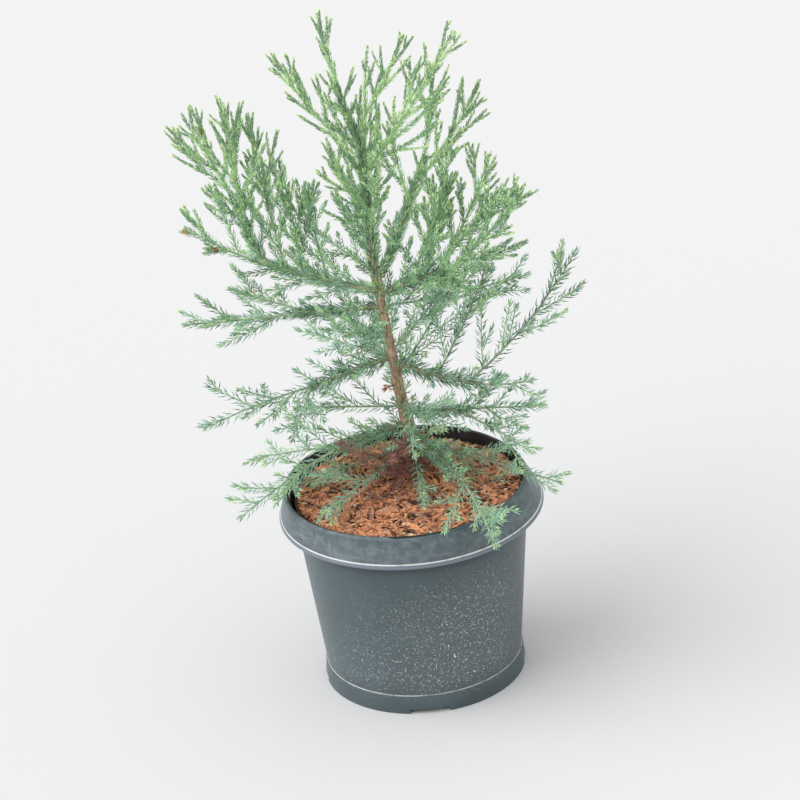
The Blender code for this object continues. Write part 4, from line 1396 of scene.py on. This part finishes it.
def twig_mesh(name, shoots, materials):
    """The cores of the shoots, as slim five-sided tubes that end in a point."""
    sides, points, quads, fans, kinds = 5, [], [], [], []
    first = 0
    for shoot in shoots:
        rows = len(shoot.points)
        radii = np.linspace(shoot.root_radius, shoot.tip_radius, rows)
        points.append(tube_points(shoot.points, radii, sides).reshape(-1, 3))
        tip = shoot.points[-1] + (shoot.points[-1] - shoot.points[-2]) * 0.05
        points.append(tip[None])
        quads.append(ring_faces(rows, sides, first))
        fans.append(cap(sides, first + (rows - 1) * sides, first + rows * sides))
        woody = shoot.level == 0 and shoot.openness > 0.5
        kind = DRY_TWIG if shoot.kind in RUSTY_SHARE else int(woody)
        kinds.append((len(quads[-1]), len(fans[-1]), kind))
        first += rows * sides + 1
    of_shoot = [kind for _, _, kind in kinds]
    of_quads = np.repeat(of_shoot, [count for count, _, _ in kinds])
    of_fans = np.repeat(of_shoot, [count for _, count, _ in kinds])
    faces = [np.concatenate(quads), np.concatenate(fans)]
    return mesh_object(name, np.concatenate(points), faces, materials, np.concatenate([of_quads, of_fans]))


class SEQUOIA_OT_twigs(bpy.types.Operator):
    """Grow the stems, side shoots and finest twigs of every mass of foliage"""

    bl_idname = "sequoia.twigs"
    bl_label = "Twigs"

    def execute(self, context):
        colours = context.scene.sequoia_colours
        materials = [
            plain_material("green twig", colours.twig, 0.7, 240.0, 0.75, 1.3),
            plain_material("twig wood", colours.wood, 0.8, 240.0, 0.65, 1.35, 0.3),
            plain_material("dry twig", colours.dry_twig, 0.85, 240.0, 0.65, 1.35, 0.3),
        ]
        for part in PARTS:
            shoots = [shoot for shoot in shoots_in(part) if shoot.kind != "clad"]
            piece(twig_mesh(f"twigs_{part}", shoots, materials), "bark", *masses_in(part))
        return {"FINISHED"}


def needle_material(kind, base):
    """A plain colour; the bloom on the blue needles makes them duller."""
    roughness = 0.62 if "blue" in kind else 0.5
    return plain_material(f"{kind.replace('_', ' ')} needle", base, roughness, 260.0, 0.82, 1.2, 0.45)


class SEQUOIA_OT_needles(bpy.types.Operator):
    """Set the needles on every shoot, in a few joined meshes"""

    bl_idname = "sequoia.needles"
    bl_label = "Needles"

    def execute(self, context):
        settings, colours = context.scene.sequoia_needles, context.scene.sequoia_colours
        materials = [needle_material(kind, getattr(colours, kind)) for kind in NEEDLE_KINDS]
        for part in PARTS:
            dice = np.random.default_rng(7)
            rows = [needle_rows(shoot, settings, dice) for shoot in shoots_in(part)]
            joined = [np.concatenate(values) for values in zip(*rows)]
            count = len(joined[0])
            for k, chunk in enumerate(np.array_split(np.arange(count), math.ceil(count / MOST_NEEDLES))):
                made = needle_mesh(f"needles_{part}_{k + 1}", [values[chunk] for values in joined], materials)
                piece(made, "fresh_needles" if part == "top" else "blue_needles")
        return {"FINISHED"}


# ---------------------------------------------------------------- stage


def veiled_sun(direction, strength, width):
    """A sun so wide that its shadows are soft; direction points from the plant to it."""
    data = bpy.data.lights.new("veiled sun", "SUN")
    data.energy = strength
    data.angle = width
    made = bpy.data.objects.new("veiled sun", data)
    bpy.context.scene.collection.objects.link(made)
    made.rotation_euler = Vector(direction).to_track_quat("Z", "Y").to_euler()


FLOOR_REACH = 16000.0
SUN_FROM = (-1.15, -0.30, 0.9)
LOOKS_AT = (-0.001, 0, 0.216)


class SEQUOIA_OT_stage(bpy.types.Operator):
    """Lay the pale floor, light it softly and set up the camera"""

    bl_idname = "sequoia.stage"
    bl_label = "Floor, light and camera"

    def execute(self, context):
        settings = context.scene.sequoia_stage
        corners = np.array(((-1, -1, 0), (1, -1, 0), (1, 1, 0), (-1, 1, 0))) * FLOOR_REACH
        material, _, shader = new_material("pale floor", 0.9, 0.1)
        shader["Base Color"].default_value = (*settings.floor, 1)
        floor = mesh_object("floor", corners, np.array(((0, 1, 2, 3),)), [material], smooth=False)
        world = bpy.data.worlds.new("soft room")
        world.use_nodes = True
        sky = world.node_tree.nodes["Background"]
        sky.inputs["Color"].default_value = (1, 1, 1, 1)
        sky.inputs["Strength"].default_value = settings.sky
        context.scene.world = world
        veiled_sun(SUN_FROM, settings.sun, settings.veil)
        data = bpy.data.cameras.new("camera")
        data.lens = settings.lens
        data.clip_end = 60.0
        camera = bpy.data.objects.new("camera", data)
        context.scene.collection.objects.link(camera)
        rim = Vector((0, 0, BEAD_HEIGHT * MM))
        place = rim + Vector((0, -math.cos(settings.rise), math.sin(settings.rise))) * settings.distance
        turn = (Vector(LOOKS_AT) - place).to_track_quat("-Z", "Y").to_matrix().to_4x4()
        camera.matrix_world = Matrix.Translation(place) @ turn @ Matrix.Rotation(-settings.roll, 4, "Z")
        context.scene.camera = camera
        context.scene.view_settings.view_transform = "Standard"
        return {"FINISHED"}


# ---------------------------------------------------------------- panel and registration

STEPS = (
    SEQUOIA_OT_stage,
    SEQUOIA_OT_pot,
    SEQUOIA_OT_compost,
    SEQUOIA_OT_limbs,
    SEQUOIA_OT_twigs,
    SEQUOIA_OT_needles,
)
SETTINGS = {
    "sequoia_needles": NeedleSettings,
    "sequoia_colours": FoliageColours,
    "sequoia_bark": BarkSettings,
    "sequoia_pot": PotSettings,
    "sequoia_compost": CompostSettings,
    "sequoia_stage": StageSettings,
}


class SEQUOIA_PT_panel(bpy.types.Panel):
    """The steps that build the plant, and their settings"""

    bl_idname = "SEQUOIA_PT_panel"
    bl_label = "Potted giant sequoia"
    bl_space_type = "VIEW_3D"
    bl_region_type = "UI"
    bl_category = "Sequoia"

    def draw(self, context):
        for step in STEPS:
            self.layout.operator(step.bl_idname)
        for name, group in SETTINGS.items():
            box = self.layout.box()
            box.label(text=group.__name__)
            for prop in group.__annotations__:
                box.prop(getattr(context.scene, name), prop)


def register():
    for group in SETTINGS.values():
        bpy.utils.register_class(group)
    for step in STEPS:
        bpy.utils.register_class(step)
    bpy.utils.register_class(SEQUOIA_PT_panel)
    for name, group in SETTINGS.items():
        setattr(bpy.types.Scene, name, bpy.props.PointerProperty(type=group))


def unregister():
    for name in SETTINGS:
        delattr(bpy.types.Scene, name)
    bpy.utils.unregister_class(SEQUOIA_PT_panel)
    for step in reversed(STEPS):
        bpy.utils.unregister_class(step)
    for group in reversed(list(SETTINGS.values())):
        bpy.utils.unregister_class(group)


def main():
    for thing in [thing for thing in bpy.data.objects if thing.name in ("Cube", "Light", "Camera")]:
        bpy.data.objects.remove(thing, do_unlink=True)
    register()
    bpy.ops.sequoia.stage()
    bpy.ops.sequoia.pot()
    bpy.ops.sequoia.compost()
    bpy.ops.sequoia.limbs()
    bpy.ops.sequoia.twigs()
    bpy.ops.sequoia.needles()


if __name__ == "__main__":
    main()
